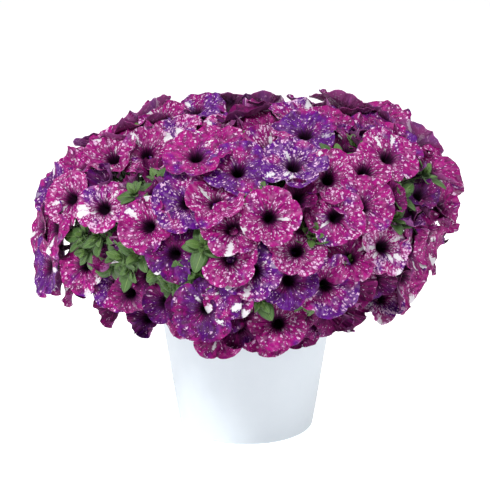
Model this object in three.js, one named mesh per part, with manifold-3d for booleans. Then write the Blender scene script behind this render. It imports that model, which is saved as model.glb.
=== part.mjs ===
// A petunia in full bloom in a plain tapered pot, in millimetres, +Z up, with the origin at the middle of the
// pot's flat base and the photographed side towards -Y.
//
// The plant is an overhanging dome. Twelve stems rise from the soil and branch into twigs under the dome. Each
// twig carries a leaf, and a flower stalk with its calyx for each bloom. The blooms are funnels with five
// lobes, whose limbs lie side by side on the dome, so neighbours are fused where their limbs cross. Leafy shoot
// tips come up between them. Where two bunches meet, the limbs are bent clear of a plane between them.
import * as THREE from "three";
import { mergeVertices } from "three/addons/utils/BufferGeometryUtils.js";
import Module from "manifold-3d";

const wasm = await Module();
wasm.setup();

const { sin, cos, abs, asin, hypot, atan2, sqrt, min, max, floor, PI } = Math;
const RADIANS = PI / 180;
const GOLDEN = PI * (3 - sqrt(5)); // the turn from one leaf or place to the next, as in most plants
const vec = (x, y, z) => new THREE.Vector3(x, y, z);

// ---------------------------------------------------------------- driving dimensions
const POT = {
  baseRadius: 93,
  rimRadius: 124,
  height: 200,
  wall: 3,
  floor: 4,
  lipProud: 3.5,
  lipHeight: 11,
  edgeRound: 5,
  sides: 32,
  drainRadius: 6,
  drainCircle: 58,
  drains: 5,
  drainSides: 10,
};
const SOIL = { top: 186, mound: 5, shoulder: 0.6, gap: 0.3, sides: 28 };
const HOLE = { depth: 14, clearance: 0.35, sides: 6 };

// The dome that the blooms lie on: half its width, half its height, the height of its middle, how boxy its
// shoulders are, and how thick the layer of blooms is, from the limbs down to the calyces. Its lowest places
// are given as angles, lower in front. Its lower half is cut in between the front, the back and the sides, and
// more so at the left of the front than at the right.
const DOME = {
  across: 276,
  up: 142,
  middle: 288,
  boxAbove: 3.4,
  boxBelow: 1.9,
  layer: 42,
  lean: 0.1,
  lowest: -27,
  cutIn: 0.22,
  cutAside: 0.6,
  frontDrop: 13,
};
// Where the photographed side is looked at from, how steeply, how finely its sight lines are walked, and how
// much nearer to the dome's middle a spot is tried next when its sight line misses the dome.
const VIEW = { eye: vec(0, -2470, 930), down: 14.5 * RADIANS, from: 390, step: 2, nearer: 0.98 };

const BLOOM = {
  radius: [34, 40],
  notch: 0.86,
  pitDepth: 13,
  neckRadius: 7,
  neckDepth: 18,
  recurve: 4.5,
  wave: 2.5,
  tilt: 26,
  openTilt: 0.35,
  openView: 0.45,
  liftAbove: 1.1,
  sunk: 9,
  bend: 0.35,
};
// How blooms of one bunch are drawn together until their limbs cross: the least meeting of their places, the
// volume that counts as fused, the widest limb, and the shares that a round moves, turns and widens them by.
const DRAW = {
  meeting: 0.003,
  fused: 4,
  widest: 44,
  rounds: 24,
  gentleRounds: 8,
  gentle: 0.008,
  firm: 0.03,
  level: 0.2,
  turn: 0.2,
  widen: 1.02,
};
const FOLD = { tries: 9, smaller: 0.95, turned: 0.12 }; // how a bloom that folds through itself is eased
const LOBES = 5;
const CALYX = { stalk: 0.75, length: 8, radius: 3.2, neck: 1.3, seat: 0.4 };
const STEM = { count: 12, radius: 2.6, taper: 0.8, root: 52, sides: 5 };
const TWIG = { count: 36, radius: 2.3, taper: 0.9, reach: 0.72, fork: 0.34, droop: 4, sides: 3 };
TWIG.elbow = 0.45; // where a twig bends, as a share of its length
TWIG.leafAt = 0.7; // where it bears its leaf, in the same way as its stalks
TWIG.spread = [0.5, 0.95]; // where twigs leave their stem, as shares of the way from its knee to its fork
TWIG.bearing = [0.3, 0.99]; // where a twig bears its stalks, as shares of its outer half
TWIG.clearEnds = [8, 0.97]; // above the dome's lowest angle, in degrees, and up to this share of its top
const LEAF = { length: [27, 38], shape: 0.29, thickness: 1.3, droop: 0.16, thick: 1.8 };
const UNDER = { outermost: 0.985, passes: 3 }; // keeping a twig's leaf under the layer of blooms
const TIP = {
  leaves: 5,
  length: [20, 30],
  shape: 0.26,
  open: [50, 66],
  weight: 0.994,
  deep: 18,
  droop: 0.14,
  bend: 0.3,
  hub: 5,
  stalk: [0.9, 1.5, 1.1],
};
// A whorl's hub, from its top to its bottom, its ring and where leaves stand on it, as [radius, height], and a
// leaf's widest place and middle, as shares of its length, with how far its edges and its vein stand up.
const WHORL = {
  top: 1.5,
  bottom: -4,
  waist: [2.3, -2],
  leafBase: [2, -1.5],
  widest: 0.42,
  middle: 0.45,
  raised: 1,
  vein: 0.3,
};
const CLEAR = { apart: 0.25, passes: 16, room: 10, farthest: 20 }; // keeping blooms clear of neighbours
const SLIVERS = [0.15, 0.12, 0.1, 0.07, 0.04]; // how coarsely a fused solid is smoothed, first choice first
const WELD = 1e-3; // corners this near are one

// The most open blooms on the photographed side, as [across, up] in mm from the middle of the pot's base.
const OPEN_BLOOMS = [
  [-189, 376], [-141, 381], [-99, 392], [-141, 278], [-103, 240], [-202, 304], [-251, 317], [-270, 216],
  [-43, 311], [-86, 314], [-20, 274], [-26, 232], [-26, 186], [-58, 158], [-185, 194], [-132, 166],
  [33, 387], [62, 362], [116, 345], [125, 292], [166, 357], [200, 372], [168, 306], [244, 315],
  [72, 244], [195, 248], [32, 290], [8, 214], [60, 200], [114, 193], [190, 178], [44, 142],
  [-116, 430], [-43, 422], [75, 433],
];
// The shoot tips on that side, in the same way.
const SHOOT_TIPS = [
  [-218, 266], [-160, 327], [-158, 240], [-186, 232], [-92, 200], [-76, 176], [-62, 251], [3, 410],
  [155, 402], [131, 378], [258, 358], [214, 296], [104, 158], [141, 142], [20, 168],
];
// The rest of the dome's places, as a spiral.
const SPIRAL = { points: 184, clear: 40, reach: 72, push: 0.2, rounds: 30, tipEvery: 11, tipBehind: -60 };
const BUNCHES = { count: 45, gatherings: 12, handings: 6 };
const SEEDS = { place: 7919, leaves: [104729, 31], skipped: 4 };

// ---------------------------------------------------------------- seeded draws
/** A seeded draw from 0 to 1: a 32-bit linear congruential generator. */
function draws(seed) {
  let state = seed;
  return () => {
    state = (Math.imul(state, 1664525) + 1013904223) >>> 0;
    return state / 4294967296;
  };
}
/** Draws from a seed, without the first few, which follow the seed too closely. */
function settledDraws(seed) {
  const next = draws(seed);
  for (let skipped = 0; skipped < SEEDS.skipped; skipped++) next();
  return next;
}

const between = (range, share) => range[0] + (range[1] - range[0]) * share;

// ---------------------------------------------------------------- the dome
const MIDDLE = vec(0, 0, DOME.middle);

/** How far the dome stands out from a plain ellipsoid: boxy shoulders, a lean and soft bumps. */
function bulge(u) {
  const level = hypot(u.x, u.y);
  const bearing = atan2(u.x, -u.y);
  const box = u.z > 0 ? DOME.boxAbove : DOME.boxBelow;
  const boxy = (level ** box + abs(u.z) ** box) ** (-1 / box);
  const bumps = 0.02 * sin(3 * bearing + 0.6) + 0.015 * sin(5 * bearing + 2);
  const corner = sin(2 * bearing);
  const cutIn = DOME.cutIn * max(0, -u.z) * corner ** 2 * (1 - DOME.cutAside * corner);
  return boxy * (1 + DOME.lean * u.x * u.z + level * (bumps - cutIn));
}

/** A point's place as a share of the way out to the dome, sunk in by a depth: 1 is on it. */
function share(point, depth = 0) {
  const u = point.clone().sub(MIDDLE);
  u.set(u.x / (DOME.across - depth), u.y / (DOME.across - depth), u.z / (DOME.up - depth));
  return u.length() / bulge(u.clone().normalize());
}

/** The point on the dome, sunk in by a depth, on the ray from the middle through a point. */
function onDome(point, depth = 0) {
  return point.clone().sub(MIDDLE).divideScalar(share(point, depth)).add(MIDDLE);
}

/** A direction by its bearing from the photographed side and its height angle. */
function direction(bearing, height) {
  return vec(sin(bearing) * cos(height), -cos(bearing) * cos(height), sin(height));
}

/** The dome's point in a direction of the ellipsoid's own stretched space. */
function domePoint(u, depth = 0) {
  const point = vec(u.x * DOME.across, u.y * DOME.across, u.z * DOME.up).add(MIDDLE);
  return onDome(point, depth);
}

/** The dome's outward normal at a point, as an ellipsoid's. */
function outward(point) {
  const d = point.clone().sub(MIDDLE);
  return vec(d.x / DOME.across ** 2, d.y / DOME.across ** 2, d.z / DOME.up ** 2).normalize();
}

/** The dome's point seen at [across, up] from the photographed side, by walking in along its sight line. */
function seenAt([across, up]) {
  const start = vec(across, up * sin(VIEW.down), up * cos(VIEW.down));
  const sight = start.clone().sub(VIEW.eye).normalize();
  for (let t = -VIEW.from; t < 0; t += VIEW.step) {
    const point = start.clone().addScaledVector(sight, t);
    if (share(point) <= 1) return raised(point);
  }
  return seenAt([across * VIEW.nearer, DOME.middle + (up - DOME.middle) * VIEW.nearer]);
}

/** A point on the dome, no lower than the lowest blooms of its bearing, which hang over the rim in front. */
function raised(point) {
  const at = onDome(point);
  const bearing = atan2(at.x, -at.y);
  const angle = DOME.lowest - DOME.frontDrop * max(0, cos(bearing));
  const { z } = domePoint(direction(bearing, angle * RADIANS));
  return onDome(at.setZ(max(at.z, z)));
}

// ---------------------------------------------------------------- places of the blooms and shoot tips
/** The places on the dome: the ones on the photographed side, then a spiral of more, eased evenly apart. */
function places() {
  const fixed = SHOOT_TIPS.map((spot) => ({ kind: "tip", at: seenAt(spot) }));
  fixed.push(...OPEN_BLOOMS.map((spot) => ({ kind: "bloom", open: true, at: seenAt(spot) })));
  const low = sin((DOME.lowest - DOME.frontDrop) * RADIANS);
  const free = [];
  for (let k = 0; k < SPIRAL.points; k++) {
    const height = asin(low + (1 - low) * ((k + 0.5) / SPIRAL.points));
    const at = domePoint(direction(k * GOLDEN, height));
    if (fixed.some((s) => s.at.distanceTo(at) < SPIRAL.clear)) continue;
    const tip = free.length % SPIRAL.tipEvery === floor(SPIRAL.tipEvery / 2) && at.y > SPIRAL.tipBehind;
    free.push({ kind: tip ? "tip" : "bloom", open: false, at });
  }
  for (let round = 0; round < SPIRAL.rounds; round++) {
    for (const site of free) ease(site, [...fixed, ...free]);
  }
  return [...fixed, ...free];
}

/** Moves a place away from the ones near it, along the dome. */
function ease(site, all) {
  const push = vec(0, 0, 0);
  for (const other of all) {
    const away = site.at.clone().sub(other.at);
    const gap = away.length();
    if (gap === 0 || gap >= SPIRAL.reach) continue;
    push.addScaledVector(away, (SPIRAL.push * (SPIRAL.reach - gap)) / gap);
  }
  site.at = raised(site.at.clone().add(push));
}

/** Each place with the draws that shape what grows there: its size, how it faces, its turn and its depth. */
function grown(site, index) {
  const next = settledDraws(SEEDS.place * (index + 1));
  const normal = outward(site.at);
  const toView = vec(0, -cos(VIEW.down), sin(VIEW.down));
  const tilt = BLOOM.tilt * RADIANS * (site.open ? BLOOM.openTilt : between([BLOOM.openTilt, 1], next()));
  const swing = 2 * PI * next();
  const aside = vec(0, 0, 1).cross(normal).normalize();
  const upward = normal.clone().cross(aside);
  const facing = normal.clone().lerp(toView, site.open ? BLOOM.openView : 0);
  facing.setZ(facing.z + max(0, -BLOOM.liftAbove * normal.z)).normalize();
  facing.multiplyScalar(cos(tilt)).addScaledVector(aside, sin(tilt) * cos(swing));
  facing.addScaledVector(upward, sin(tilt) * sin(swing)).normalize();
  const sunk = site.open ? 0 : BLOOM.sunk * next();
  const radius = between(BLOOM.radius, site.open ? 0.5 + 0.5 * next() : next());
  const limb = site.at.clone().addScaledVector(normal, -sunk);
  const seat = onDome(limb, DOME.layer);
  const q = limb.clone().sub(MIDDLE);
  q.set(q.x / DOME.across, q.y / DOME.across, q.z / DOME.up).normalize();
  if (site.kind === "tip") q.multiplyScalar(TIP.weight);
  return { ...site, index, next, normal, facing, radius, limb, seat, q, turn: 2 * PI * next() };
}

// ---------------------------------------------------------------- solids
/** A closed solid from points and faces. */
function geometryOf(points, faces) {
  const geometry = new THREE.BufferGeometry().setFromPoints(points);
  return geometry.setIndex(faces.flat());
}

/** A three.js geometry as a solid: its positions alone, with shared vertices merged and no flat triangles. */
function solidOf(geometry) {
  const bare = new THREE.BufferGeometry();
  const plain = geometry.index ? geometry.toNonIndexed() : geometry;
  bare.setAttribute("position", plain.getAttribute("position"));
  const merged = mergeVertices(bare, WELD);
  const index = merged.index.array;
  const kept = [];
  for (let i = 0; i < index.length; i += 3) {
    const [a, b, c] = [index[i], index[i + 1], index[i + 2]];
    if (a !== b && b !== c && c !== a) kept.push(a, b, c);
  }
  const vertProperties = new Float32Array(merged.attributes.position.array);
  const mesh = new wasm.Mesh({ numProp: 3, vertProperties, triVerts: new Uint32Array(kept) });
  return new wasm.Manifold(mesh);
}

/** A solid as a three.js geometry. */
function geometryFrom(solid) {
  const mesh = solid.getMesh();
  const geometry = new THREE.BufferGeometry();
  geometry.setAttribute("position", new THREE.BufferAttribute(new Float32Array(mesh.vertProperties), 3));
  geometry.setIndex(new THREE.BufferAttribute(new Uint32Array(mesh.triVerts), 1));
  geometry.computeVertexNormals();
  return geometry;
}

/** The largest of a solid's bodies, with any hollow sealed inside it filled. */
function largest(solid) {
  return solid.decompose().reduce((a, b) => (a.volume() >= b.volume() ? a : b));
}

/** Whether each edge of a solid belongs to two faces, once corners in the same place are one. */
function plainEdges(solid) {
  const plain = geometryFrom(solid).toNonIndexed();
  plain.deleteAttribute("normal");
  const index = mergeVertices(plain, WELD).index.array;
  const edges = new Set();
  for (let i = 0; i < index.length; i++) {
    const key = `${index[i]} ${index[i % 3 === 2 ? i - 2 : i + 1]}`;
    if (edges.has(key)) return false;
    edges.add(key);
  }
  return true;
}

/** Solids joined into the body that holds together, with the slivers where they cross smoothed away. */
function joined(solids) {
  const whole = largest(wasm.Manifold.union(solids));
  const smoothed = (solid, sliver) => largest(solidOf(geometryFrom(solid.simplify(sliver))));
  for (const sliver of SLIVERS) {
    const smooth = smoothed(smoothed(smoothed(whole, sliver), sliver), sliver);
    if (plainEdges(smooth)) return smooth;
  }
  return whole;
}

/** Two directions square to an axis and to each other. */
function square(axis) {
  const helper = abs(axis.z) < 0.9 ? vec(0, 0, 1) : vec(1, 0, 0);
  const side = helper.cross(axis).normalize();
  return [side, axis.clone().cross(side)];
}

/** A stem along points, with a radius at each, as rings of few sides. Its ends are closed flat. */
function stem(points, radii, sides) {
  const verts = [];
  const faces = [];
  points.forEach((point, row) => {
    const before = points[max(row - 1, 0)];
    const after = points[min(row + 1, points.length - 1)];
    const [side, rise] = square(after.clone().sub(before).normalize());
    for (let k = 0; k < sides; k++) {
      const a = (2 * PI * k) / sides;
      const rim = point.clone().addScaledVector(side, radii[row] * cos(a));
      verts.push(rim.addScaledVector(rise, radii[row] * sin(a)));
      if (row === 0) continue;
      const [p, q] = [(row - 1) * sides + k, (row - 1) * sides + ((k + 1) % sides)];
      faces.push([p, q, q + sides], [p, q + sides, p + sides]);
    }
  });
  const last = (points.length - 1) * sides;
  for (let k = 1; k < sides - 1; k++) {
    faces.push([0, k + 1, k], [last, last + k, last + k + 1]);
  }
  return { points: verts, faces };
}

/** An ovate leaf, a thin blade of six edge points that is raised along its midrib and droops to its tip. */
function leaf(base, along, up, length) {
  const side = up.clone().cross(along).normalize();
  const face = along.clone().cross(side);
  const half = length * LEAF.shape;
  const at = (share_, across, rise) =>
    base
      .clone()
      .addScaledVector(along, length * share_)
      .addScaledVector(side, across)
      .addScaledVector(face, rise - LEAF.droop * length * share_ ** 2);
  const points = [
    at(0, 0, 0),
    at(0.3, half * 0.92, 0.8),
    at(0.66, half * 0.86, 0.6),
    at(1, 0, 0),
    at(0.66, -half * 0.86, 0.6),
    at(0.3, -half * 0.92, 0.8),
    at(0.48, 0, LEAF.thickness / 2),
    at(0.48, 0, -LEAF.thickness),
  ];
  const faces = [];
  for (let k = 0; k < 6; k++) {
    const l = (k + 1) % 6;
    faces.push([6, l, k], [7, k, l]);
  }
  return { points, faces };
}

/** A bloom: a limb of five lobes that sinks to the throat in front, on a neck and tube of three sides. */
function bloom(site) {
  const [side, rise] = square(site.facing);
  const at = (radius, angle, height) =>
    site.limb
      .clone()
      .addScaledVector(side, radius * cos(angle + site.turn))
      .addScaledVector(rise, radius * sin(angle + site.turn))
      .addScaledVector(site.facing, height);
  const points = [];
  const rim = 2 * LOBES;
  for (let k = 0; k < rim; k++) {
    const lobe = k % 2 === 0;
    const reach = site.radius * (lobe ? 1 : BLOOM.notch) * (0.95 + 0.1 * site.next());
    const curl = (lobe ? -BLOOM.recurve : 1.5) + BLOOM.wave * (2 * site.next() - 1);
    points.push(at(reach, (PI * k) / LOBES, curl));
  }
  for (let k = 0; k < 3; k++) points.push(at(BLOOM.neckRadius, (2 * PI * k) / 3, -BLOOM.neckDepth));
  points.push(at(0, 0, -BLOOM.pitDepth), site.seat.clone());
  const [pit, foot] = [rim + 3, rim + 4];
  const behind = [0, 4, 7, rim]; // the rim point that each side of the neck starts from
  const faces = [];
  for (let k = 0; k < rim; k++) faces.push([pit, k, (k + 1) % rim]);
  for (let k = 0; k < 3; k++) {
    const [own, next] = [rim + k, rim + ((k + 1) % 3)];
    for (let r = behind[k]; r < behind[k + 1]; r++) faces.push([own, (r + 1) % rim, r]);
    faces.push([own, next, behind[k + 1] % rim], [foot, next, own]);
  }
  return { points, faces };
}

// ---------------------------------------------------------------- keeping clear of neighbours
/** Moves a point to its own side of the plane through the dome's middle between two places. */
function keepSide(point, own, other) {
  const n = own.q.clone().sub(other.q);
  n.set(n.x / DOME.across, n.y / DOME.across, n.z / DOME.up).normalize();
  const short = max(0, CLEAR.apart - n.dot(point.clone().sub(MIDDLE)));
  point.addScaledVector(n, short);
  return short;
}

/** Bends what grows at one place clear of the other places, and up or down along the plane that it meets. */
function bentClear(points, own, others, sign) {
  for (const point of points) {
    let moved = 0;
    for (let pass = 0; pass < CLEAR.passes; pass++) {
      for (const other of others) moved += keepSide(point, own, other);
    }
    const d = point.clone().sub(MIDDLE);
    point.copy(MIDDLE).addScaledVector(d, 1 + (sign * min(moved, CLEAR.farthest)) / d.length());
  }
}

/** Moves points out of the space under the layer of blooms, with room for a flat face between two of them. */
function keepOutside(points) {
  for (const point of points) {
    const s = share(point, DOME.layer - CLEAR.room);
    if (s < 1) point.sub(MIDDLE).divideScalar(s).add(MIDDLE);
  }
}

/** Sets a leaf's underside straight below its top again, so that a bent leaf keeps its thickness. */
function setUnder(points, top, under, depth) {
  const inward = MIDDLE.clone().sub(points[top]).normalize();
  points[under].copy(points[top]).addScaledVector(inward, depth);
}

/** Moves a twig's points nearer to it than to the twigs of other stems, and under the layer of blooms. */
function keepUnder(points, twig, twigs) {
  for (const point of points) {
    for (let pass = 0; pass < UNDER.passes; pass++) {
      for (const other of twigs) {
        if (other.stem === twig.stem) continue;
        const n = twig.at.clone().sub(other.at);
        const half = n.length() / 2;
        n.normalize();
        const short = CLEAR.apart - half - n.dot(point.clone().sub(twig.at));
        if (short > 0) point.addScaledVector(n, short);
      }
    }
    const s = share(point, DOME.layer);
    const kept = min(max(s, TWIG.reach), UNDER.outermost);
    point.sub(MIDDLE).multiplyScalar(kept / s).add(MIDDLE);
  }
}

// ---------------------------------------------------------------- the plant
const sites = places().map(grown);
const blooms = sites.filter((s) => s.kind === "bloom");
const near = (a, b) => a !== b && a.limb.distanceTo(b.limb) < 4 * BLOOM.radius[1];

/** The blooms in bunches of near neighbours, gathered round the middles of their blooms in a few rounds. */
function bunches(count) {
  const middles = [blooms[0].limb.clone()];
  const gap = (b) => min(...middles.map((m) => m.distanceTo(b.limb)));
  while (middles.length < count) {
    middles.push(blooms.reduce((a, b) => (gap(a) >= gap(b) ? a : b)).limb.clone());
  }
  let groups = [];
  for (let round = 0; round < BUNCHES.gatherings; round++) {
    groups = middles.map(() => []);
    for (const b of blooms) {
      const gaps = middles.map((m) => m.distanceTo(b.limb));
      groups[gaps.indexOf(min(...gaps))].push(b);
    }
    groups.forEach((group, k) => {
      if (!group.length) return;
      middles[k].set(0, 0, 0);
      for (const b of group) middles[k].addScaledVector(b.limb, 1 / group.length);
    });
  }
  for (let round = 0; round < BUNCHES.handings; round++) {
    groups.forEach((group) => passOnStrays(group, groups));
  }
  return groups.filter((group) => group.length);
}

/** How much nearer two places are to their midway point than any other place is: over 0, they meet. */
function meeting(a, b) {
  const m = a.q.clone().add(b.q).normalize();
  const own = min(a.q.dot(m), b.q.dot(m));
  return own - max(...sites.filter((s) => s !== a && s !== b).map((s) => s.q.dot(m)));
}

/** The blooms of a bunch that hold together, each after the one that it meets most widely. */
function linked(bunch) {
  const held = [bunch[0]];
  for (;;) {
    let best = { wide: DRAW.meeting };
    for (const to of held) {
      for (const b of bunch) {
        if (held.includes(b) || !near(b, to)) continue;
        const wide = meeting(b, to);
        if (wide > best.wide) best = { b, wide };
      }
    }
    if (!best.b) return held;
    held.push(best.b);
  }
}

/** Hands each bloom that doesn't meet the rest of its bunch to the bunch that it meets most widely. */
function passOnStrays(group, groups) {
  if (!group.length) return;
  const held = linked(group);
  for (const stray of group.filter((b) => !held.includes(b))) {
    const options = blooms.filter((o) => near(o, stray) && !group.includes(o));
    const nearest = options.reduce((a, b) => (meeting(a, stray) >= meeting(b, stray) ? a : b));
    groups.find((g) => g.includes(nearest)).push(stray);
    group.splice(group.indexOf(stray), 1);
  }
}

/** One bloom, bent clear of all that it isn't fused to: smaller and turned outwards where it folds. */
function bentBloom(own, fused) {
  const others = sites.filter((s) => !fused.includes(s) && near(s, own));
  let shape;
  for (let fold = 0; fold < FOLD.tries; fold++) {
    const facing = own.facing.clone().lerp(own.normal, fold * FOLD.turned).normalize();
    const radius = own.radius * FOLD.smaller ** fold;
    shape = bloom({ ...own, facing, radius, next: draws(own.index + 1) });
    const foot = shape.points.pop();
    bentClear(shape.points, own, others, BLOOM.bend);
    keepOutside(shape.points);
    shape.points.push(foot);
    own.folds = crossesItself(shape);
    if (!own.folds) break;
  }
  return solidOf(geometryOf(shape.points, shape.faces));
}

/** Whether a shape passes through itself: whether an edge pierces a face that it has no corner on. */
function crossesItself({ points, faces }) {
  const edges = faces.flatMap(([a, b, c]) => [[a, b], [b, c], [c, a]]).filter(([a, b]) => a < b);
  return faces.some((face) => {
    const apart = edges.filter((edge) => !edge.some((k) => face.includes(k)));
    return apart.some(([a, b]) => pierces(points[a], points[b], face, points));
  });
}

/** Whether the edge from one point to another pierces a face. */
function pierces(from, to, face, points) {
  const along = to.clone().sub(from);
  const hit = vec(0, 0, 0);
  const ray = new THREE.Ray(from, along.clone().normalize());
  const corners = face.map((k) => points[k]);
  return ray.intersectTriangle(...corners, false, hit) !== null && hit.distanceTo(from) < along.length();
}

/** Draws a bloom towards another until their limbs cross and neither folds. Returns whether they do. */
function draw(own, to, crossing, made) {
  const before = { limb: own.limb.clone(), facing: own.facing.clone(), radius: own.radius };
  crossing.get(own).push(to);
  crossing.get(to).push(own);
  for (let round = 0; round < DRAW.rounds; round++) {
    for (const b of [own, to]) made.set(b, bentBloom(b, crossing.get(b)));
    const crosses = made.get(own).intersect(made.get(to)).volume() > DRAW.fused;
    if (crosses && !own.folds && !to.folds) return true;
    const above = own.limb.clone().sub(to.limb).dot(to.facing);
    own.limb.lerp(to.limb, round < DRAW.gentleRounds ? DRAW.gentle : DRAW.firm);
    own.limb.addScaledVector(to.facing, -DRAW.level * above);
    own.facing.lerp(to.facing, DRAW.turn).normalize();
    own.radius = min(own.radius * DRAW.widen, DRAW.widest);
  }
  Object.assign(own, before);
  crossing.get(own).pop();
  crossing.get(to).pop();
  return false;
}

/** A bunch's blooms, fused: each is drawn to the one that it meets most widely, or else left out. The first is
 * one that doesn't fold. */
function bunchSolid(bunch) {
  const crossing = new Map(bunch.map((b) => [b, []]));
  const alone = new Map(bunch.map((b) => [b, bentBloom(b, [])]));
  const first = bunch.find((b) => !b.folds) ?? bunch[0];
  const made = new Map([[first, alone.get(first)]]);
  for (const own of linked([first, ...bunch.filter((b) => b !== first)]).slice(1)) {
    const held = [...made.keys()].filter((b) => meeting(b, own) > DRAW.meeting);
    held.sort((a, b) => meeting(b, own) - meeting(a, own));
    if (held.some((to) => draw(own, to, crossing, made))) continue;
    made.delete(own);
    for (const to of made.keys()) made.set(to, bentBloom(to, crossing.get(to)));
    leaveOut(own);
  }
  return joined([...made.values()]);
}

/** Takes a bloom out of the plant. */
function leaveOut(bloom_) {
  blooms.splice(blooms.indexOf(bloom_), 1);
  sites.splice(sites.indexOf(bloom_), 1);
}

/** The twigs, spread evenly under the dome, each with the stem in whose sector it lies. */
function twigPlaces() {
  const ends = [sin((DOME.lowest + TWIG.clearEnds[0]) * RADIANS), TWIG.clearEnds[1]];
  return Array.from({ length: TWIG.count }, (_, k) => {
    const height = asin(between(ends, (k + 0.5) / TWIG.count));
    const out = domePoint(direction(k * GOLDEN, height), DOME.layer);
    const at = out.clone().sub(MIDDLE).multiplyScalar(TWIG.reach).add(MIDDLE);
    const bearing = (atan2(at.x, -at.y) + 2 * PI) % (2 * PI);
    return { at, stem: floor((bearing / (2 * PI)) * STEM.count), index: k };
  });
}

/** A stem with its twigs, flower stalks, calyces, leaves and shoot tips, fused. */
function stemSolid(number, twigs) {
  const parts = [];
  const add = (shape) => parts.push(solidOf(geometryOf(shape.points, shape.faces)));
  const bearing = ((number + 0.5) * 2 * PI) / STEM.count;
  const across = (radius, height) => vec(radius * sin(bearing), -radius * cos(bearing), height);
  const fork = across(DOME.across * TWIG.fork, DOME.middle - 4);
  const root = across(STEM.root, SOIL.top + SOIL.mound - HOLE.depth);
  const knee = across(STEM.root, (root.z + fork.z) / 2);
  add(stem([root, knee, fork], [STEM.radius, STEM.radius, STEM.radius * STEM.taper], STEM.sides));
  const own = twigs.filter((t) => t.stem === number);
  own.forEach((twig, k) => {
    const from = knee.clone().lerp(fork, between(TWIG.spread, (k + 0.5) / own.length));
    addTwig(add, twig, from, twigs);
  });
  return joined(parts);
}

/** A twig from its stem, with the stalks, the shoot tips and the leaf that it bears. */
function addTwig(add, twig, from, twigs) {
  const bend = from.clone().lerp(twig.at, TWIG.elbow);
  bend.setZ(bend.z - TWIG.droop);
  add(stem([from, bend, twig.at], [TWIG.radius, TWIG.radius, TWIG.radius * TWIG.taper], TWIG.sides));
  const borne = sites.filter((s) => s.twig === twig);
  const joint = (share_) => bend.clone().lerp(twig.at, between(TWIG.bearing, share_));
  borne.forEach((site, i) => {
    const start = joint((i + 0.5) / borne.length);
    if (site.kind === "bloom") add(stalk(site, start));
    else addTip(add, site, start);
  });
  add(twigLeaf(twig, joint(TWIG.leafAt), twigs));
}

/** A flower stalk from its twig, widening into the calyx that the bloom's tube stands in. */
function stalk(site, start) {
  const inward = MIDDLE.clone().sub(site.seat).normalize();
  const top = site.seat.clone().addScaledVector(inward, CALYX.seat);
  const foot = top.clone().addScaledVector(inward, CALYX.length);
  return stem([start, foot, top], [CALYX.stalk, CALYX.neck, CALYX.radius], TWIG.sides);
}

/** A leafy shoot tip: a stalk from its twig out between the blooms, and a whorl of young leaves at its end. */
function addTip(add, site, start) {
  const end = site.limb.clone().addScaledVector(site.normal, -TIP.deep);
  const shape = whorl(site, end);
  bentClear(shape.points, site, blooms.filter((b) => near(b, site)), TIP.bend);
  setUnder(shape.points, 0, 1, TIP.hub);
  for (const top of shape.tops) setUnder(shape.points, top, top + 1, LEAF.thick);
  add(shape);
  const hub = shape.points[0].clone().lerp(shape.points[1], 0.5);
  add(stem([start, site.seat, hub], TIP.stalk, TWIG.sides));
}

/** A whorl of leaves as one solid: a small ring round the stalk's end, with a leaf on each of its sides. */
function whorl(site, end) {
  const [side, rise] = square(site.normal);
  const step = (2 * PI) / TIP.leaves;
  const out = (angle) => {
    const turned_ = angle + site.turn;
    return side.clone().multiplyScalar(cos(turned_)).addScaledVector(rise, sin(turned_));
  };
  const at = (angle, radius, height) =>
    end.clone().addScaledVector(out(angle), radius).addScaledVector(site.normal, height);
  const points = [at(0, 0, WHORL.top), at(0, 0, WHORL.bottom)];
  const faces = [];
  const tops = [];
  for (let k = 0; k < TIP.leaves; k++) points.push(at((k - 0.5) * step, ...WHORL.waist));
  for (let k = 0; k < TIP.leaves; k++) {
    const blade = tipBlade(site, out(k * step), at(k * step, ...WHORL.leafBase));
    const first = points.length;
    const { widest, middle, raised: rise_, vein } = WHORL;
    points.push(blade(widest, -TIP.shape, rise_), blade(1, 0, 0), blade(widest, TIP.shape, rise_));
    points.push(blade(middle, 0, vein), blade(middle, 0, -LEAF.thickness));
    tops.push(first + 3);
    const [a, b] = [2 + k, 2 + ((k + 1) % TIP.leaves)];
    const rim = [a, first, first + 1, first + 2, b];
    const fan = (hub, middle) => [...rim, middle].map((p, i, all) => [hub, p, all[(i + 1) % all.length]]);
    faces.push(...fan(first + 3, 0), ...fan(first + 4, 1).map((f) => f.toReversed()));
  }
  return { points, faces, tops };
}

/** A tip leaf's drawn length and opening, as a rule that gives a point by its share along, aside and lift. */
function tipBlade(site, away, base) {
  const length = between(TIP.length, site.next());
  const open = between(TIP.open, site.next()) * RADIANS;
  const along = site.normal.clone().multiplyScalar(cos(open)).addScaledVector(away, sin(open));
  const face = site.normal.clone().multiplyScalar(sin(open)).addScaledVector(away, -cos(open));
  const across = face.clone().cross(along);
  return (share_, aside, lift) =>
    base
      .clone()
      .addScaledVector(along, length * share_)
      .addScaledVector(across, aside * length)
      .addScaledVector(face, lift - TIP.droop * length * share_ ** 2);
}

/** A twig's leaf, with its base sunk in the twig, clear of other stems' twigs and under the blooms. */
function twigLeaf(twig, base, twigs) {
  const next = settledDraws(SEEDS.leaves[0] + twig.index * SEEDS.leaves[1]);
  const normal = outward(twig.at);
  const [side, rise] = square(normal);
  const angle = 2 * PI * (next() + 0.4 * next());
  const out = side.clone().multiplyScalar(cos(angle)).addScaledVector(rise, sin(angle));
  const along = normal.clone().multiplyScalar(0.5).add(out).normalize();
  const up = normal.clone().addScaledVector(out, -0.5).normalize();
  const shape = leaf(base, along, up, between(LEAF.length, next()));
  keepUnder(shape.points.slice(1), twig, twigs);
  setUnder(shape.points, 6, 7, LEAF.thick);
  return shape;
}

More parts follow.
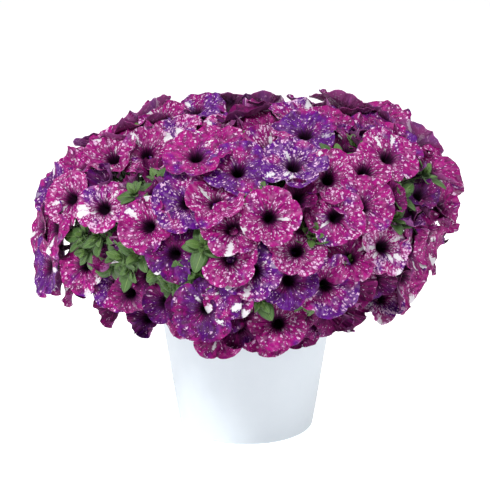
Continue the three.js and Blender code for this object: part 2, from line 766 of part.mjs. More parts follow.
// ---------------------------------------------------------------- the pot and its soil
/** A ring of points turned about the upright axis, given as [radius, height]. */
function turned(profile, sides) {
  const points = profile.map(([radius, height]) => new THREE.Vector2(radius, height));
  return solidOf(new THREE.LatheGeometry(points, sides).rotateX(PI / 2));
}

/** The wall's outer radius at a height. */
const wallAt = (height) => POT.baseRadius + ((POT.rimRadius - POT.baseRadius) * height) / POT.height;

function potSolid() {
  const { height, lipHeight, lipProud, wall, edgeRound } = POT;
  const lipTop = wallAt(height) + lipProud;
  const shell = turned(
    [
      [0, 0],
      [POT.baseRadius - edgeRound, 0],
      [POT.baseRadius - edgeRound * 0.25, edgeRound * 0.3],
      [wallAt(edgeRound), edgeRound],
      [wallAt(height - lipHeight), height - lipHeight],
      [lipTop, height - lipHeight + 2],
      [lipTop, height - 1.5],
      [lipTop - 1.5, height],
      [wallAt(height) - wall, height],
      [wallAt(POT.floor) - wall, POT.floor],
      [0, POT.floor],
    ],
    POT.sides,
  );
  const { drainRadius: radius, drainSides } = POT;
  const drain = new THREE.CylinderGeometry(radius, radius, 4 * POT.floor, drainSides).rotateX(PI / 2);
  const drains = Array.from({ length: POT.drains }, (_, k) => {
    const a = (2 * PI * k) / POT.drains;
    return solidOf(drain.clone().translate(POT.drainCircle * sin(a), POT.drainCircle * cos(a), 0));
  });
  return drains.reduce((solid, hole) => solid.subtract(hole), shell);
}

function soilSolid() {
  const floorTop = POT.floor + SOIL.gap;
  const facet = cos(PI / POT.sides); // the faceted wall comes in this much between its corners
  const inner = (height) => (wallAt(height) - POT.wall) * facet - SOIL.gap;
  const body = turned(
    [
      [0, floorTop],
      [inner(floorTop), floorTop],
      [inner(SOIL.top), SOIL.top],
      [inner(SOIL.top) * SOIL.shoulder, SOIL.top + SOIL.mound * 0.8],
      [0, SOIL.top + SOIL.mound],
    ],
    SOIL.sides,
  );
  const radius = STEM.radius / cos(PI / HOLE.sides) + HOLE.clearance;
  const hole = new THREE.CylinderGeometry(radius, radius, 2 * HOLE.depth, HOLE.sides).rotateX(PI / 2);
  const middle = SOIL.top + SOIL.mound - HOLE.clearance;
  return Array.from({ length: STEM.count }, (_, k) => {
    const bearing = ((k + 0.5) * 2 * PI) / STEM.count;
    return solidOf(hole.clone().translate(STEM.root * sin(bearing), -STEM.root * cos(bearing), middle));
  }).reduce((solid, cut) => solid.subtract(cut), body);
}

// ---------------------------------------------------------------- the object
const finish = (color, roughness) =>
  new THREE.MeshStandardMaterial({ color, roughness, metalness: 0, side: THREE.DoubleSide });
const POT_WHITE = finish(0xe6ecf0, 0.45);
const SOIL_BROWN = finish(0x2e2018, 0.95);
const LEAF_GREEN = finish(0x4a7a34, 0.6);
const PETALS = [finish(0xa0247f, 0.55), finish(0x6a2c8c, 0.55)];

const plant = new THREE.Group();
const addMesh = (name, solid, material) => {
  const mesh = new THREE.Mesh(geometryFrom(solid), material);
  mesh.name = name;
  plant.add(mesh);
};
const numbered = (name, k) => `${name}_${String(k + 1).padStart(2, "0")}`;

addMesh("pot", potSolid(), POT_WHITE);
addMesh("soil", soilSolid(), SOIL_BROWN);

bunches(BUNCHES.count).forEach((bunch, k) => {
  addMesh(numbered("bloom_bunch", k), bunchSolid(bunch), PETALS[k % PETALS.length]);
});

const twigs = twigPlaces();
for (const site of sites) {
  site.twig = twigs.reduce((a, b) => (a.at.distanceTo(site.seat) <= b.at.distanceTo(site.seat) ? a : b));
}
for (let k = 0; k < STEM.count; k++) addMesh(numbered("leafy_stem", k), stemSolid(k, twigs), LEAF_GREEN);

export default plant;
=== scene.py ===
"""A petunia in full bloom in a plain tapered pot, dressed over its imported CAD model.

The pot's base stands at the origin, +Z is up and the photographed side faces -Y. The plant's rule works in
millimetres, as the CAD source does, and every mesh is made in metres.
"""

from __future__ import annotations

import itertools
import logging
import math
from collections.abc import Callable
from dataclasses import dataclass, field, replace
from enum import Enum

import bpy
import numpy as np
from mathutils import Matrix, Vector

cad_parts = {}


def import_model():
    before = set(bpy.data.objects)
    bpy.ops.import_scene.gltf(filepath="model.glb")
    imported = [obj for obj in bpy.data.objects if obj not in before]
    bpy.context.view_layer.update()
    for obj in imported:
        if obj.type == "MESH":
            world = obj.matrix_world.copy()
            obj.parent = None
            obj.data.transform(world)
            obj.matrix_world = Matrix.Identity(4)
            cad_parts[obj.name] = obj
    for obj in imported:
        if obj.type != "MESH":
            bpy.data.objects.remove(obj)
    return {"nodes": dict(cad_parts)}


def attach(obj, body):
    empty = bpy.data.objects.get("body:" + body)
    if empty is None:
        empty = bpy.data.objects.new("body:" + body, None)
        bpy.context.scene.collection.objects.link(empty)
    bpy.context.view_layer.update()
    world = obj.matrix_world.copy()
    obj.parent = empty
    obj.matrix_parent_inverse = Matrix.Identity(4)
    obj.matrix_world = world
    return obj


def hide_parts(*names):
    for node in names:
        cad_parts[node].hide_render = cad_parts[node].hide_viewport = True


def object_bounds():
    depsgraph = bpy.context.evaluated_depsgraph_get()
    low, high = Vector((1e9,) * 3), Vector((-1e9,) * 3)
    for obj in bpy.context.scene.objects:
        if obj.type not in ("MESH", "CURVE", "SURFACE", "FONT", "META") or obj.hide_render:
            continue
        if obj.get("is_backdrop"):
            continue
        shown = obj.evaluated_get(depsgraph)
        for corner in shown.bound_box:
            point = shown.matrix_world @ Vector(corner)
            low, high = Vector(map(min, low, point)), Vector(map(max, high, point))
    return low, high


LOG = logging.getLogger("petunia")
Array = np.ndarray
Colour = tuple[float, float, float]
MM = 0.001  # metres in a millimetre
GOLDEN = math.pi * (3 - math.sqrt(5))  # the golden angle, in radians
GOLDEN_SHARE = 0.6180339  # the golden ratio less 1, which scatters a row of numbers over 0 to 1
LOBES = 5  # of each bloom
WARM_UP = 4  # draws that are passed over


# ---------------------------------------------------------------- small helpers
def unit(v: Array) -> Array:
    """Vectors scaled to length 1, along their last axis."""
    return v / np.linalg.norm(v, axis=-1, keepdims=True)


def step(low: float, high: float, x: Array) -> Array:
    """A smooth step from 0 at low to 1 at high."""
    t = np.clip((x - low) / (high - low), 0, 1)
    return t * t * (3 - 2 * t)


def square(axis: Array) -> tuple[Array, Array]:
    """Two directions square to an axis and to each other, turned as in the CAD source.

    Args:
        axis: The axis, of length 1.

    Returns:
        The two directions.
    """
    helper = np.array([0.0, 0.0, 1.0]) if abs(axis[2]) < 0.9 else np.array([1.0, 0.0, 0.0])
    side = unit(np.cross(helper, axis))
    return side, np.cross(axis, side)


def turns(count: int) -> Array:
    """Angles spread evenly round a circle."""
    return np.arange(count) * math.tau / count


def fan(pair: tuple[Array, Array], angle: float | Array) -> Array:
    """The directions at some angles in the plane of two directions that are square to each other."""
    angle = np.asarray(angle)[..., None]
    return np.cos(angle) * pair[0] + np.sin(angle) * pair[1]


def direction(bearing: float, height: float) -> Array:
    """A direction by its bearing from the photographed side and its height angle."""
    level = math.cos(height)
    return np.array([math.sin(bearing) * level, -math.cos(bearing) * level, math.sin(height)])


class Draws:
    """Seeded draws from 0 to 1, by the same 32-bit congruential rule as the CAD source."""

    def __init__(self, seed: int) -> None:
        """Starts the row of draws at a seed."""
        self.state = seed & 0xFFFFFFFF

    def __call__(self) -> float:
        """The next draw."""
        self.state = (self.state * 1664525 + 1013904223) & 0xFFFFFFFF
        return self.state / 4294967296

    @classmethod
    def warmed(cls, seed: int) -> Draws:
        """A row of draws past its first few, which lie close together for seeds that are close.

        Args:
            seed: The seed.

        Returns:
            The row of draws.
        """
        draw = cls(seed)
        for _ in range(WARM_UP):
            draw()
        return draw

    def between(self, low: float, high: float) -> float:
        """The next draw, spread from low to high."""
        return low + (high - low) * self()


@dataclass
class Surface:
    """Skins gathered for one mesh: points, faces, and a value of each kind at each point."""

    points: list[Array] = field(default_factory=list)
    quads: list[Array] = field(default_factory=list)
    tris: list[Array] = field(default_factory=list)
    values: dict[str, list[Array]] = field(default_factory=dict)
    count: int = 0

    def skin(self, rows: Array, start: Array, end: Array, **values: Array) -> None:
        """Adds a closed skin: rings of points one after the other, with a pole at each end.

        Each ring runs anticlockwise seen from the end, so that the faces point outwards.

        Args:
            rows: Points by ring and place, shape (rings, places, 3), in millimetres.
            start: The pole before the first ring.
            end: The pole after the last ring.
            **values: Arrays of shape (rings, places, parts), stored as attributes.
        """
        rings, places = rows.shape[:2]
        near = np.arange(places)
        after = (near + 1) % places
        ring = (np.arange(rings - 1) * places)[:, None]
        quads = np.stack([ring + near, ring + after, ring + after + places, ring + near + places], -1)
        first = np.full(places, rings * places)
        last = (rings - 1) * places
        caps = [np.stack([first, after, near], -1), np.stack([first + 1, last + near, last + after], -1)]
        self.points.append(np.concatenate([rows.reshape(-1, 3), [start, end]]) * MM)
        self.quads.append(quads.reshape(-1, 4) + self.count)
        self.tris.append(np.concatenate(caps) + self.count)
        for name, value in values.items():
            poles = [value[0].mean(0), value[-1].mean(0)]
            flat = np.concatenate([value.reshape(-1, value.shape[-1]), poles])
            self.values.setdefault(name, []).append(flat)
        self.count += rings * places + 2

    def mesh(self, name: str) -> bpy.types.Mesh:
        """Makes one mesh of all the skins, with their values as attributes.

        Args:
            name: The mesh's name.

        Returns:
            The mesh, with smooth faces.
        """
        mesh = bpy.data.meshes.new(name)
        faces = np.concatenate(self.quads).tolist() + np.concatenate(self.tris).tolist()
        mesh.from_pydata(np.concatenate(self.points).tolist(), [], faces)
        kinds = {1: "FLOAT", 3: "FLOAT_VECTOR", 4: "FLOAT_COLOR"}
        keys = {1: "value", 3: "vector", 4: "color"}
        for key, parts in self.values.items():
            data = np.concatenate(parts)
            wide = data.shape[1]
            mesh.attributes.new(key, kinds[wide], "POINT").data.foreach_set(keys[wide], data.ravel())
        mesh.polygons.foreach_set("use_smooth", np.ones(len(faces), bool))
        mesh.update()
        return mesh

    def piece(self, name: str, material: bpy.types.Material, slot: str, *nodes: str) -> bpy.types.Object:
        """Makes the piece that stands for CAD nodes, and rides on the root body.

        Args:
            name: The piece's name.
            material: Its finish.
            slot: The record's material slot that the finish belongs to; not used.
            *nodes: The CAD nodes that it replaces.

        Returns:
            The new object.
        """
        mesh = self.mesh(name)
        mesh.materials.append(material)
        piece = linked(name, mesh)
        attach(piece, "root")
        if nodes:
            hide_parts(*nodes)
        LOG.info("%s: %d faces", name, len(mesh.polygons))
        return piece


def linked(name: str, data: bpy.types.ID) -> bpy.types.Object:
    """A new object in the scene that shows a mesh, a lamp or a camera.

    Args:
        name: The object's name.
        data: What it shows.

    Returns:
        The new object.
    """
    made = bpy.data.objects.new(name, data)
    bpy.context.scene.collection.objects.link(made)
    return made


# ---------------------------------------------------------------- shader building
class Wiring:
    """A node tree with short ways to add nodes and join them."""

    def __init__(self, tree: bpy.types.NodeTree) -> None:
        """Starts with a tree, emptied."""
        self.tree = tree
        tree.nodes.clear()

    def node(self, kind: str, **settings: object) -> bpy.types.Node:
        """A new node with some of its settings.

        Args:
            kind: The node's type.
            **settings: Its settings by name.

        Returns:
            The new node.
        """
        made = self.tree.nodes.new(kind)
        for key, value in settings.items():
            setattr(made, key, value)
        return made

    def put(self, socket: bpy.types.NodeSocket, value: object) -> None:
        """Joins an output to a socket, or sets the socket to a plain value.

        Args:
            socket: The input.
            value: An output, a plain value, or None to leave it.
        """
        if isinstance(value, bpy.types.NodeSocket):
            self.tree.links.new(value, socket)
        elif value is not None:
            socket.default_value = value

    def math(self, operation: str, *values: object, clamp: bool = False) -> bpy.types.NodeSocket:
        """The result of a Math node.

        Args:
            operation: What it does.
            *values: Its inputs.
            clamp: Whether it stays in 0 to 1.

        Returns:
            The node's output.
        """
        made = self.node("ShaderNodeMath", operation=operation, use_clamp=clamp)
        for socket, value in zip(made.inputs, values):
            self.put(socket, value)
        return made.outputs[0]

    def times(self, a: object, b: object) -> bpy.types.NodeSocket:
        """The product of two values."""
        return self.math("MULTIPLY", a, b)

    def plus(self, a: object, b: object) -> bpy.types.NodeSocket:
        """The sum of two values."""
        return self.math("ADD", a, b)

    def minus(self, a: object, b: object) -> bpy.types.NodeSocket:
        """The first value less the second."""
        return self.math("SUBTRACT", a, b)

    def vector(self, operation: str, a: object, b: object) -> bpy.types.NodeSocket:
        """The vector that a Vector Math node gives from two, or from one and a scale.

        Args:
            operation: What it does.
            a: The first input.
            b: The second, or the scale.

        Returns:
            The node's output.
        """
        made = self.node("ShaderNodeVectorMath", operation=operation)
        self.put(made.inputs[0], a)
        self.put(made.inputs["Scale"] if operation == "SCALE" else made.inputs[1], b)
        return made.outputs["Vector"]

    def length(self, vector: object) -> bpy.types.NodeSocket:
        """A vector's length.

        Args:
            vector: The vector.

        Returns:
            The length's output.
        """
        made = self.node("ShaderNodeVectorMath", operation="LENGTH")
        self.put(made.inputs[0], vector)
        return made.outputs["Value"]

    def band(self, value: object, start: float, end: float) -> bpy.types.NodeSocket:
        """A smooth step of a value, from 0 at start to 1 at end, which may be the lower of the two.

        Args:
            value: What is stepped.
            start: Where it gives 0.
            end: Where it gives 1.

        Returns:
            The step's output.
        """
        made = self.node("ShaderNodeMapRange", interpolation_type="SMOOTHSTEP")
        self.put(made.inputs["Value"], value)
        made.inputs["From Min"].default_value = min(start, end)
        made.inputs["From Max"].default_value = max(start, end)
        made.inputs["To Min"].default_value = float(start > end)
        made.inputs["To Max"].default_value = float(start < end)
        return made.outputs["Result"]

    def mix(self, factor: object, a: object, b: object) -> bpy.types.NodeSocket:
        """A colour mixed from two, by a factor.

        Args:
            factor: How much of the second there is.
            a: The first, an output or a plain colour.
            b: The second.

        Returns:
            The mixed colour's output.
        """
        made = self.node("ShaderNodeMix", data_type="RGBA")
        self.put(made.inputs[0], factor)
        self.put(made.inputs[6], (*a, 1.0) if isinstance(a, tuple) else a)
        self.put(made.inputs[7], (*b, 1.0) if isinstance(b, tuple) else b)
        return made.outputs[2]

    def noise(self, vector: object, scale: float, detail: float = 2.0) -> bpy.types.NodeSocket:
        """A soft noise from 0 to 1."""
        return self.noise_node(vector, scale, detail).outputs["Fac"]

    def noise_node(self, vector: object, scale: float, detail: float) -> bpy.types.Node:
        """A noise texture's node.

        Args:
            vector: The coordinates.
            scale: The noise's scale.
            detail: Its octaves.

        Returns:
            The node.
        """
        made = self.node("ShaderNodeTexNoise")
        self.put(made.inputs["Vector"], vector)
        made.inputs["Scale"].default_value = scale
        made.inputs["Detail"].default_value = detail
        return made

    def pushed(self, vector: object, scale: float, push: float) -> bpy.types.NodeSocket:
        """A vector that wobbles: how far a soft noise of the vector moves a pattern on it."""
        colour = self.noise_node(vector, scale, 1.0).outputs["Color"]
        return self.vector("SCALE", self.vector("SUBTRACT", colour, (0.5, 0.5, 0.5)), push)

    def cells(self, vector: object, scale: float) -> tuple[bpy.types.NodeSocket, bpy.types.NodeSocket]:
        """The distance to the nearest cell's middle, and that cell's own draw from 0 to 1.

        Args:
            vector: The coordinates.
            scale: The cells' scale.

        Returns:
            The outputs of the distance and of the draw.
        """
        made = self.node("ShaderNodeTexVoronoi")
        self.put(made.inputs["Vector"], vector)
        made.inputs["Scale"].default_value = scale
        split = self.node("ShaderNodeSeparateColor")
        self.put(split.inputs[0], made.outputs["Color"])
        return made.outputs["Distance"], split.outputs[0]

    def joined(self, x: object, y: object, z: object) -> bpy.types.NodeSocket:
        """A vector from three values.

        Args:
            x: The first part.
            y: The second.
            z: The third.

        Returns:
            The vector's output.
        """
        made = self.node("ShaderNodeCombineXYZ")
        for socket, value in zip(made.inputs, (x, y, z)):
            self.put(socket, value)
        return made.outputs[0]

    def split(self, vector: object) -> tuple[bpy.types.NodeSocket, ...]:
        """The three values of a vector.

        Args:
            vector: The vector.

        Returns:
            The outputs of its three parts.
        """
        made = self.node("ShaderNodeSeparateXYZ")
        self.put(made.inputs[0], vector)
        return tuple(made.outputs)

    def attribute(self, name: str) -> bpy.types.Node:
        """The node that reads one of the mesh's attributes."""
        return self.node("ShaderNodeAttribute", attribute_name=name)

    def place(self) -> bpy.types.NodeSocket:
        """Object coordinates, in metres."""
        return self.node("ShaderNodeTexCoord").outputs["Object"]

    def surface(
        self, roughness: object, colour: object, height: object, relief: float, **plain: object
    ) -> None:
        """Ends the tree in a Principled surface with a bump.

        Args:
            roughness: The roughness, a value or an output.
            colour: The base colour's output.
            height: The bump's height, from 0 to 1.
            relief: The bump's distance, in metres.
            **plain: Further inputs of the shader by name, with underscores for spaces.
        """
        bump = self.node("ShaderNodeBump")
        bump.inputs["Strength"].default_value = 1.0
        bump.inputs["Distance"].default_value = relief
        self.put(bump.inputs["Height"], height)
        shader = self.node("ShaderNodeBsdfPrincipled")
        self.put(shader.inputs["Base Color"], colour)
        self.put(shader.inputs["Roughness"], roughness)
        self.put(shader.inputs["Normal"], bump.outputs["Normal"])
        for name, value in plain.items():
            shader.inputs[name.replace("_", " ")].default_value = value
        out = self.node("ShaderNodeOutputMaterial")
        self.put(out.inputs["Surface"], shader.outputs[0])


def new_material(name: str) -> tuple[bpy.types.Material, Wiring]:
    """An empty material with nodes, and the wiring of its tree.

    Args:
        name: The material's name.

    Returns:
        The material and its wiring.
    """
    material = bpy.data.materials.new(name)
    material.use_nodes = True
    return material, Wiring(material.node_tree)


def mottle_group() -> bpy.types.NodeTree:
    """The node group that several finishes share: a soft two-scale mottling of the surface.

    Returns:
        The group, with inputs Vector, Scale and Depth, and the outputs Value and Grain.
    """
    found = bpy.data.node_groups.get("soft_mottle")
    if found:
        return found
    group = bpy.data.node_groups.new("soft_mottle", "ShaderNodeTree")
    sockets = {"Vector": ("INPUT", "Vector"), "Scale": ("INPUT", "Float"), "Depth": ("INPUT", "Float")}
    sockets |= {"Value": ("OUTPUT", "Float"), "Grain": ("OUTPUT", "Float")}
    for name, (way, kind) in sockets.items():
        group.interface.new_socket(name, in_out=way, socket_type=f"NodeSocket{kind}")
    w = Wiring(group)
    given = w.node("NodeGroupInput")
    out = w.node("NodeGroupOutput")
    scaled = w.vector("SCALE", given.outputs["Vector"], given.outputs["Scale"])
    broad_scale, fine_scale, fine_share = 1.0, 6.5, 0.25
    broad = w.noise(scaled, broad_scale, 3.0)
    fine = w.noise(scaled, fine_scale, 2.0)
    both = w.plus(w.times(broad, 1 - fine_share), w.times(fine, fine_share))
    away = w.times(w.minus(both, 0.5), given.outputs["Depth"])
    w.put(out.inputs["Value"], w.math("ADD", 0.5, away, clamp=True))
    w.put(out.inputs["Grain"], fine)
    return group


def mottled(w: Wiring, vector: object, scale: float, depth: float) -> bpy.types.Node:
    """Places the mottling group in a material.

    Args:
        w: The material's wiring.
        vector: The coordinates that the mottling follows.
        scale: Its scale.
        depth: How far its value departs from a half.

    Returns:
        The group node.
    """
    made = w.node("ShaderNodeGroup", node_tree=mottle_group())
    w.put(made.inputs["Vector"], vector)
    made.inputs["Scale"].default_value = scale
    made.inputs["Depth"].default_value = depth
    return made


# ---------------------------------------------------------------- finishes
@dataclass(frozen=True)
class Speckle:
    """A scatter of spots: its cells' scale, and how a spot's size and edge follow from its cell.

    The value is a smooth step of the size less the distance to the cell's middle, over the edge. Only the
    cells whose own draw, raised by a share of the bloom's paleness, passes the least one carry a spot.
    """

    scale: float
    size: float
    edge: tuple[float, float]
    raised: float
    least: tuple[float, float]

    def value(self, w: Wiring, vector: object, pale: object) -> bpy.types.NodeSocket:
        """The spots' mask.

        Args:
            w: The material's wiring.
            vector: The coordinates that the cells follow.
            pale: How pale the bloom is.

        Returns:
            The mask, from 0 to 1.
        """
        near, own = w.cells(vector, self.scale)
        shown = w.band(w.plus(own, w.times(pale, self.raised)), *self.least)
        return w.times(w.band(w.minus(self.size, near), *self.edge), shown)


@dataclass(frozen=True)
class PetalFinish:
    """A speckled petal: magenta into violet, pale spots and blotches, a near-black throat, a paler back.

    Distances are in millimetres from the bloom's middle, and the scales of patterns are per millimetre.
    """

    magenta: Colour = (0.235, 0.002, 0.155)
    rose: Colour = (0.38, 0.004, 0.165)
    violet: Colour = (0.092, 0.003, 0.19)
    dark: Colour = (0.040, 0.0015, 0.034)
    spot: Colour = (0.66, 0.42, 0.62)
    cream: Colour = (0.64, 0.61, 0.65)
    throat: Colour = (0.012, 0.002, 0.012)
    back: Colour = (0.46, 0.16, 0.42)
    tube: Colour = (0.055, 0.010, 0.055)
    tube_stripe: Colour = (0.20, 0.15, 0.16)
    bloom_apart: float = 173.0
    wobble: tuple[float, float] = (0.33, 3.4)
    spot_lie: tuple[float, float] = (21.0, 0.62)
    small_scale: float = 0.44
    small_size: tuple[float, float] = (0.20, 0.36)
    small_edge: tuple[float, float] = (-0.05, 0.10)
    small_share: float = 0.88
    middling: Speckle = Speckle(0.29, 0.36, (-0.06, 0.12), 0.4, (0.98, 1.06))
    blotch_lie: tuple[float, float] = (16.0, 0.24)
    blotch: Speckle = Speckle(0.15, 0.40, (-0.02, 0.10), 0.4, (0.99, 1.02))
    spots_from: tuple[float, float] = (11.0, 19.0)
    spots_waver: float = 8.0
    patch_scale: float = 0.042
    patch_depth: float = 2.2
    violet_from: tuple[float, float] = (0.3, 0.75)
    rose_scale: float = 0.09
    streak_lie: tuple[float, float] = (13.0, 0.05)
    streak_edge: tuple[float, float] = (0.40, 0.66)
    vein_reach: tuple[float, float] = (34.0, 8.0)
    vein_least: float = 0.3
    net_lie: tuple[float, float] = (16.0, 0.42)
    net_edge: tuple[float, float] = (0.46, 0.62)
    net_share: tuple[float, float] = (0.92, 0.5)
    deepened: tuple[float, float] = (0.50, 0.05)
    deepened_share: float = 0.62
    haze_edge: tuple[float, float] = (0.45, 0.70)
    haze_share: float = 0.2
    rays: float = 16.0
    rays_edge: tuple[float, float] = (11.0, -2.0)
    rays_share: float = 0.8
    star: float = 10.0
    star_edge: tuple[float, float] = (6.6, 1.0)
    back_share: float = 0.42
    stripe_edge: tuple[float, float] = (0.50, 0.60)
    tube_from: tuple[float, float] = (4.0, 12.0)
    relief: float = 0.0024

    def material(self) -> bpy.types.Material:
        """Builds the petal material. Its patterns follow each bloom's own flat coordinates, in millimetres.

        Returns:
            The material.
        """
        material, w = new_material("petal_speckled")
        tone = w.attribute("tone")
        # paleness and blotches carry painted light on open blooms and painted shade on young ones, which get
        # fewer spots, a stronger dark net and more darkening
        violet_share, pale, blotch = w.split(tone.outputs["Vector"])
        depth = w.attribute("depth").outputs["Fac"]
        x, y, seed = w.split(w.attribute("petal").outputs["Vector"])
        radius = w.length(w.joined(x, y, 0.0))
        safe = w.math("MAXIMUM", radius, 0.01)
        c = w.math("DIVIDE", x, safe)
        s = w.math("DIVIDE", y, safe)
        shift = w.times(seed, self.bloom_apart)
        plane = w.joined(x, y, shift)

        def polar(round_scale: float, out_scale: float) -> bpy.types.NodeSocket:
            """Coordinates that run round the bloom and out along it, without a seam."""
            outward = w.plus(w.times(radius, out_scale), shift)
            return w.joined(w.times(c, round_scale), w.times(s, round_scale), outward)

        push = w.pushed(plane, *self.wobble)
        away = w.band(w.plus(radius, w.times(w.noise(plane, 0.3), self.spots_waver)), *self.spots_from)
        small, middling, large = self.spots(w, polar, push, pale, blotch)
        spotted = w.times(w.math("MAXIMUM", small, middling), away)
        deep = self.ground(w, plane, polar, push, radius, violet_share, pale)
        haze = w.times(w.times(w.band(w.noise(plane, 0.16, 3.0), *self.haze_edge), pale), self.haze_share)
        hazed = w.mix(w.times(haze, away), deep, self.spot)
        front = w.mix(w.times(large, away), w.mix(spotted, hazed, self.spot), self.cream)

        # the dark rays and the throat, the paler back, and the striped tube
        rays = w.times(w.noise(polar(8.0, 0.0), 1.1, 2.0), self.rays)
        inner = w.band(w.minus(radius, rays), *self.rays_edge)
        front = w.mix(w.times(inner, self.rays_share), front, self.dark)
        star = w.times(w.noise(polar(5.5, 0.0), 0.9, 1.0), self.star)
        front = w.mix(w.band(w.minus(radius, star), *self.star_edge), front, self.throat)
        rear = w.mix(self.back_share, front, self.back)
        stripe = w.band(w.noise(polar(9.0, 0.0), 0.8, 1.0), *self.stripe_edge)
        tube = w.mix(stripe, self.tube, self.tube_stripe)
        rear = w.mix(w.band(depth, *self.tube_from), rear, tube)
        colour = w.mix(tone.outputs["Alpha"], front, rear)
        height = w.plus(w.noise(polar(15.0, 0.12), 0.42, 3.0), w.times(spotted, 0.12))
        w.surface(0.55, colour, height, self.relief, Specular_IOR_Level=0.10)
        return material

    def spots(
        self, w: Wiring, polar: Callable[..., object], push: object, pale: object, blotch: object
    ) -> tuple[bpy.types.NodeSocket, ...]:
        """Small speckles everywhere, middling ones by the bloom's paleness, and a few large blotches.

        Args:
            w: The material's wiring.
            polar: Gives coordinates round the bloom.
            push: How far the patterns wobble.
            pale: How pale the bloom is.
            blotch: How blotched it is.

        Returns:
            The masks of the small, the middling and the large ones.
        """
        spots = w.vector("ADD", polar(*self.spot_lie), push)
        near, own = w.cells(spots, self.small_scale)
        least, more = self.small_size
        size = w.times(own, w.plus(least, w.times(pale, more)))
        small = w.times(w.band(w.minus(size, near), *self.small_edge), self.small_share)
        large = self.blotch.value(w, w.vector("ADD", polar(*self.blotch_lie), push), blotch)
        return small, self.middling.value(w, spots, pale), large

    def ground(
        self,
        w: Wiring,
        plane: object,
        polar: Callable[..., object],
        push: object,
        radius: object,
        violet_share: object,
        pale: object,
    ) -> bpy.types.NodeSocket:
        """The colour under the spots: magenta and violet in soft patches, with dark veins and a dark net.

        Args:
            w: The material's wiring.
            plane: The bloom's flat coordinates.
            polar: Gives coordinates round the bloom.
            push: How far the patterns wobble.
            radius: The distance from the bloom's middle.
            violet_share: How violet the bloom is.
            pale: How pale it is.

        Returns:
            The colour.
        """
        patch = w.noise(plane, self.patch_scale, 2.0)
        lean = w.plus(w.times(w.minus(patch, 0.5), self.patch_depth), violet_share)
        red = w.mix(w.noise(plane, self.rose_scale), self.magenta, self.rose)
        tint = w.mix(w.band(lean, *self.violet_from), red, self.violet)
        streak = w.band(w.noise(polar(*self.streak_lie), 0.75, 3.0), *self.streak_edge)
        inner = w.plus(self.vein_least, w.times(w.band(radius, *self.vein_reach), 1 - self.vein_least))
        netted = w.band(w.noise(w.vector("ADD", polar(*self.net_lie), push), 0.34, 2.0), *self.net_edge)
        most, less = self.net_share
        net = w.times(netted, w.minus(most, w.times(pale, less)))
        deep = w.mix(w.math("MAXIMUM", w.times(streak, inner), net), tint, self.dark)
        # blooms of low paleness are darkened further; on the young blooms this darkening is painted shade
        return w.mix(w.times(w.band(pale, *self.deepened), self.deepened_share), deep, self.dark)


@dataclass(frozen=True)
class LeafFinish:
    """A soft green leaf with a paler midrib and side veins, and the stems and sepals that go with it."""

    deep: Colour = (0.022, 0.066, 0.012)
    fresh: Colour = (0.070, 0.155, 0.026)
    young: Colour = (0.115, 0.215, 0.033)
    rib: Colour = (0.17, 0.27, 0.075)
    stalk: Colour = (0.13, 0.22, 0.06)
    mottle: tuple[float, float] = (90.0, 1.4)
    young_from: tuple[float, float] = (0.7, 1.0)
    young_share: float = 0.7
    mottle_share: float = 0.5
    stalk_mottle_share: float = 0.6
    vein_pairs: float = 7.0
    vein_sweep: float = 2.2
    vein_edge: tuple[float, float] = (0.09, 0.0)
    vein_share: float = 0.35
    rib_edge: tuple[float, float] = (0.10, 0.03)
    rib_share: float = 0.6
    relief: float = 0.0006

    def material(self) -> bpy.types.Material:
        """Builds the leaf material, which follows the blade's coordinates: across, along and kind.

        Returns:
            The material.
        """
        material, w = new_material("leaf_green")
        across, along, stalk_share = w.split(w.attribute("blade").outputs["Vector"])
        shade = w.attribute("shade").outputs["Fac"]
        mottle = mottled(w, w.place(), *self.mottle)
        body = w.mix(shade, self.deep, self.fresh)
        body = w.mix(w.times(w.band(shade, *self.young_from), self.young_share), body, self.young)
        body = w.mix(w.times(mottle.outputs["Value"], self.mottle_share), body, self.deep)
        side = w.math("ABSOLUTE", across)
        swept = w.minus(w.times(along, self.vein_pairs), w.times(side, self.vein_sweep))
        vein = w.band(w.math("PINGPONG", swept, 0.5), *self.vein_edge)
        veins = w.math("MAXIMUM", w.band(side, *self.rib_edge), w.times(vein, self.vein_share))
        blade = w.mix(w.times(veins, self.rib_share), body, self.rib)
        stalk = w.mix(w.times(mottle.outputs["Value"], self.stalk_mottle_share), self.stalk, self.deep)
        colour = w.mix(stalk_share, blade, stalk)
        height = w.minus(w.times(mottle.outputs["Grain"], 0.35), w.times(veins, 0.6))
        w.surface(0.5, colour, height, self.relief, Sheen_Weight=0.1, Specular_IOR_Level=0.4)
        return material


@dataclass(frozen=True)
class PotFinish:
    """Matt white moulded plastic with a faint cool cast and a very fine mottling."""

    white: Colour = (0.60, 0.65, 0.69)
    shaded: Colour = (0.57, 0.625, 0.67)
    mottle: tuple[float, float] = (60.0, 1.2)
    roughness: tuple[float, float] = (0.42, 0.14)
    grain_scale: float = 900.0
    relief: float = 0.00006

    def material(self) -> bpy.types.Material:
        """Builds the pot's material.

        Returns:
            The material.
        """
        material, w = new_material("pot_matt_white")
        value = mottled(w, w.place(), *self.mottle).outputs["Value"]
        colour = w.mix(value, self.white, self.shaded)
        least, more = self.roughness
        grain = w.noise(w.place(), self.grain_scale)
        w.surface(w.plus(least, w.times(value, more)), colour, grain, self.relief, Specular_IOR_Level=0.4)
        return material


@dataclass(frozen=True)
class SoilFinish:
    """Dark, crumbly potting soil with paler fibres."""

    dark: Colour = (0.018, 0.011, 0.007)
    crumb: Colour = (0.085, 0.052, 0.032)
    mottle: tuple[float, float] = (160.0, 2.4)
    crumb_edge: tuple[float, float] = (0.35, 0.8)
    relief: float = 0.002

    def material(self) -> bpy.types.Material:
        """Builds the soil's material.

        Returns:
            The material.
        """
        material, w = new_material("potting_soil")
        mottle = mottled(w, w.place(), *self.mottle)
        colour = w.mix(w.band(mottle.outputs["Value"], *self.crumb_edge), self.dark, self.crumb)
        w.surface(0.95, colour, mottle.outputs["Grain"], self.relief)
        return material


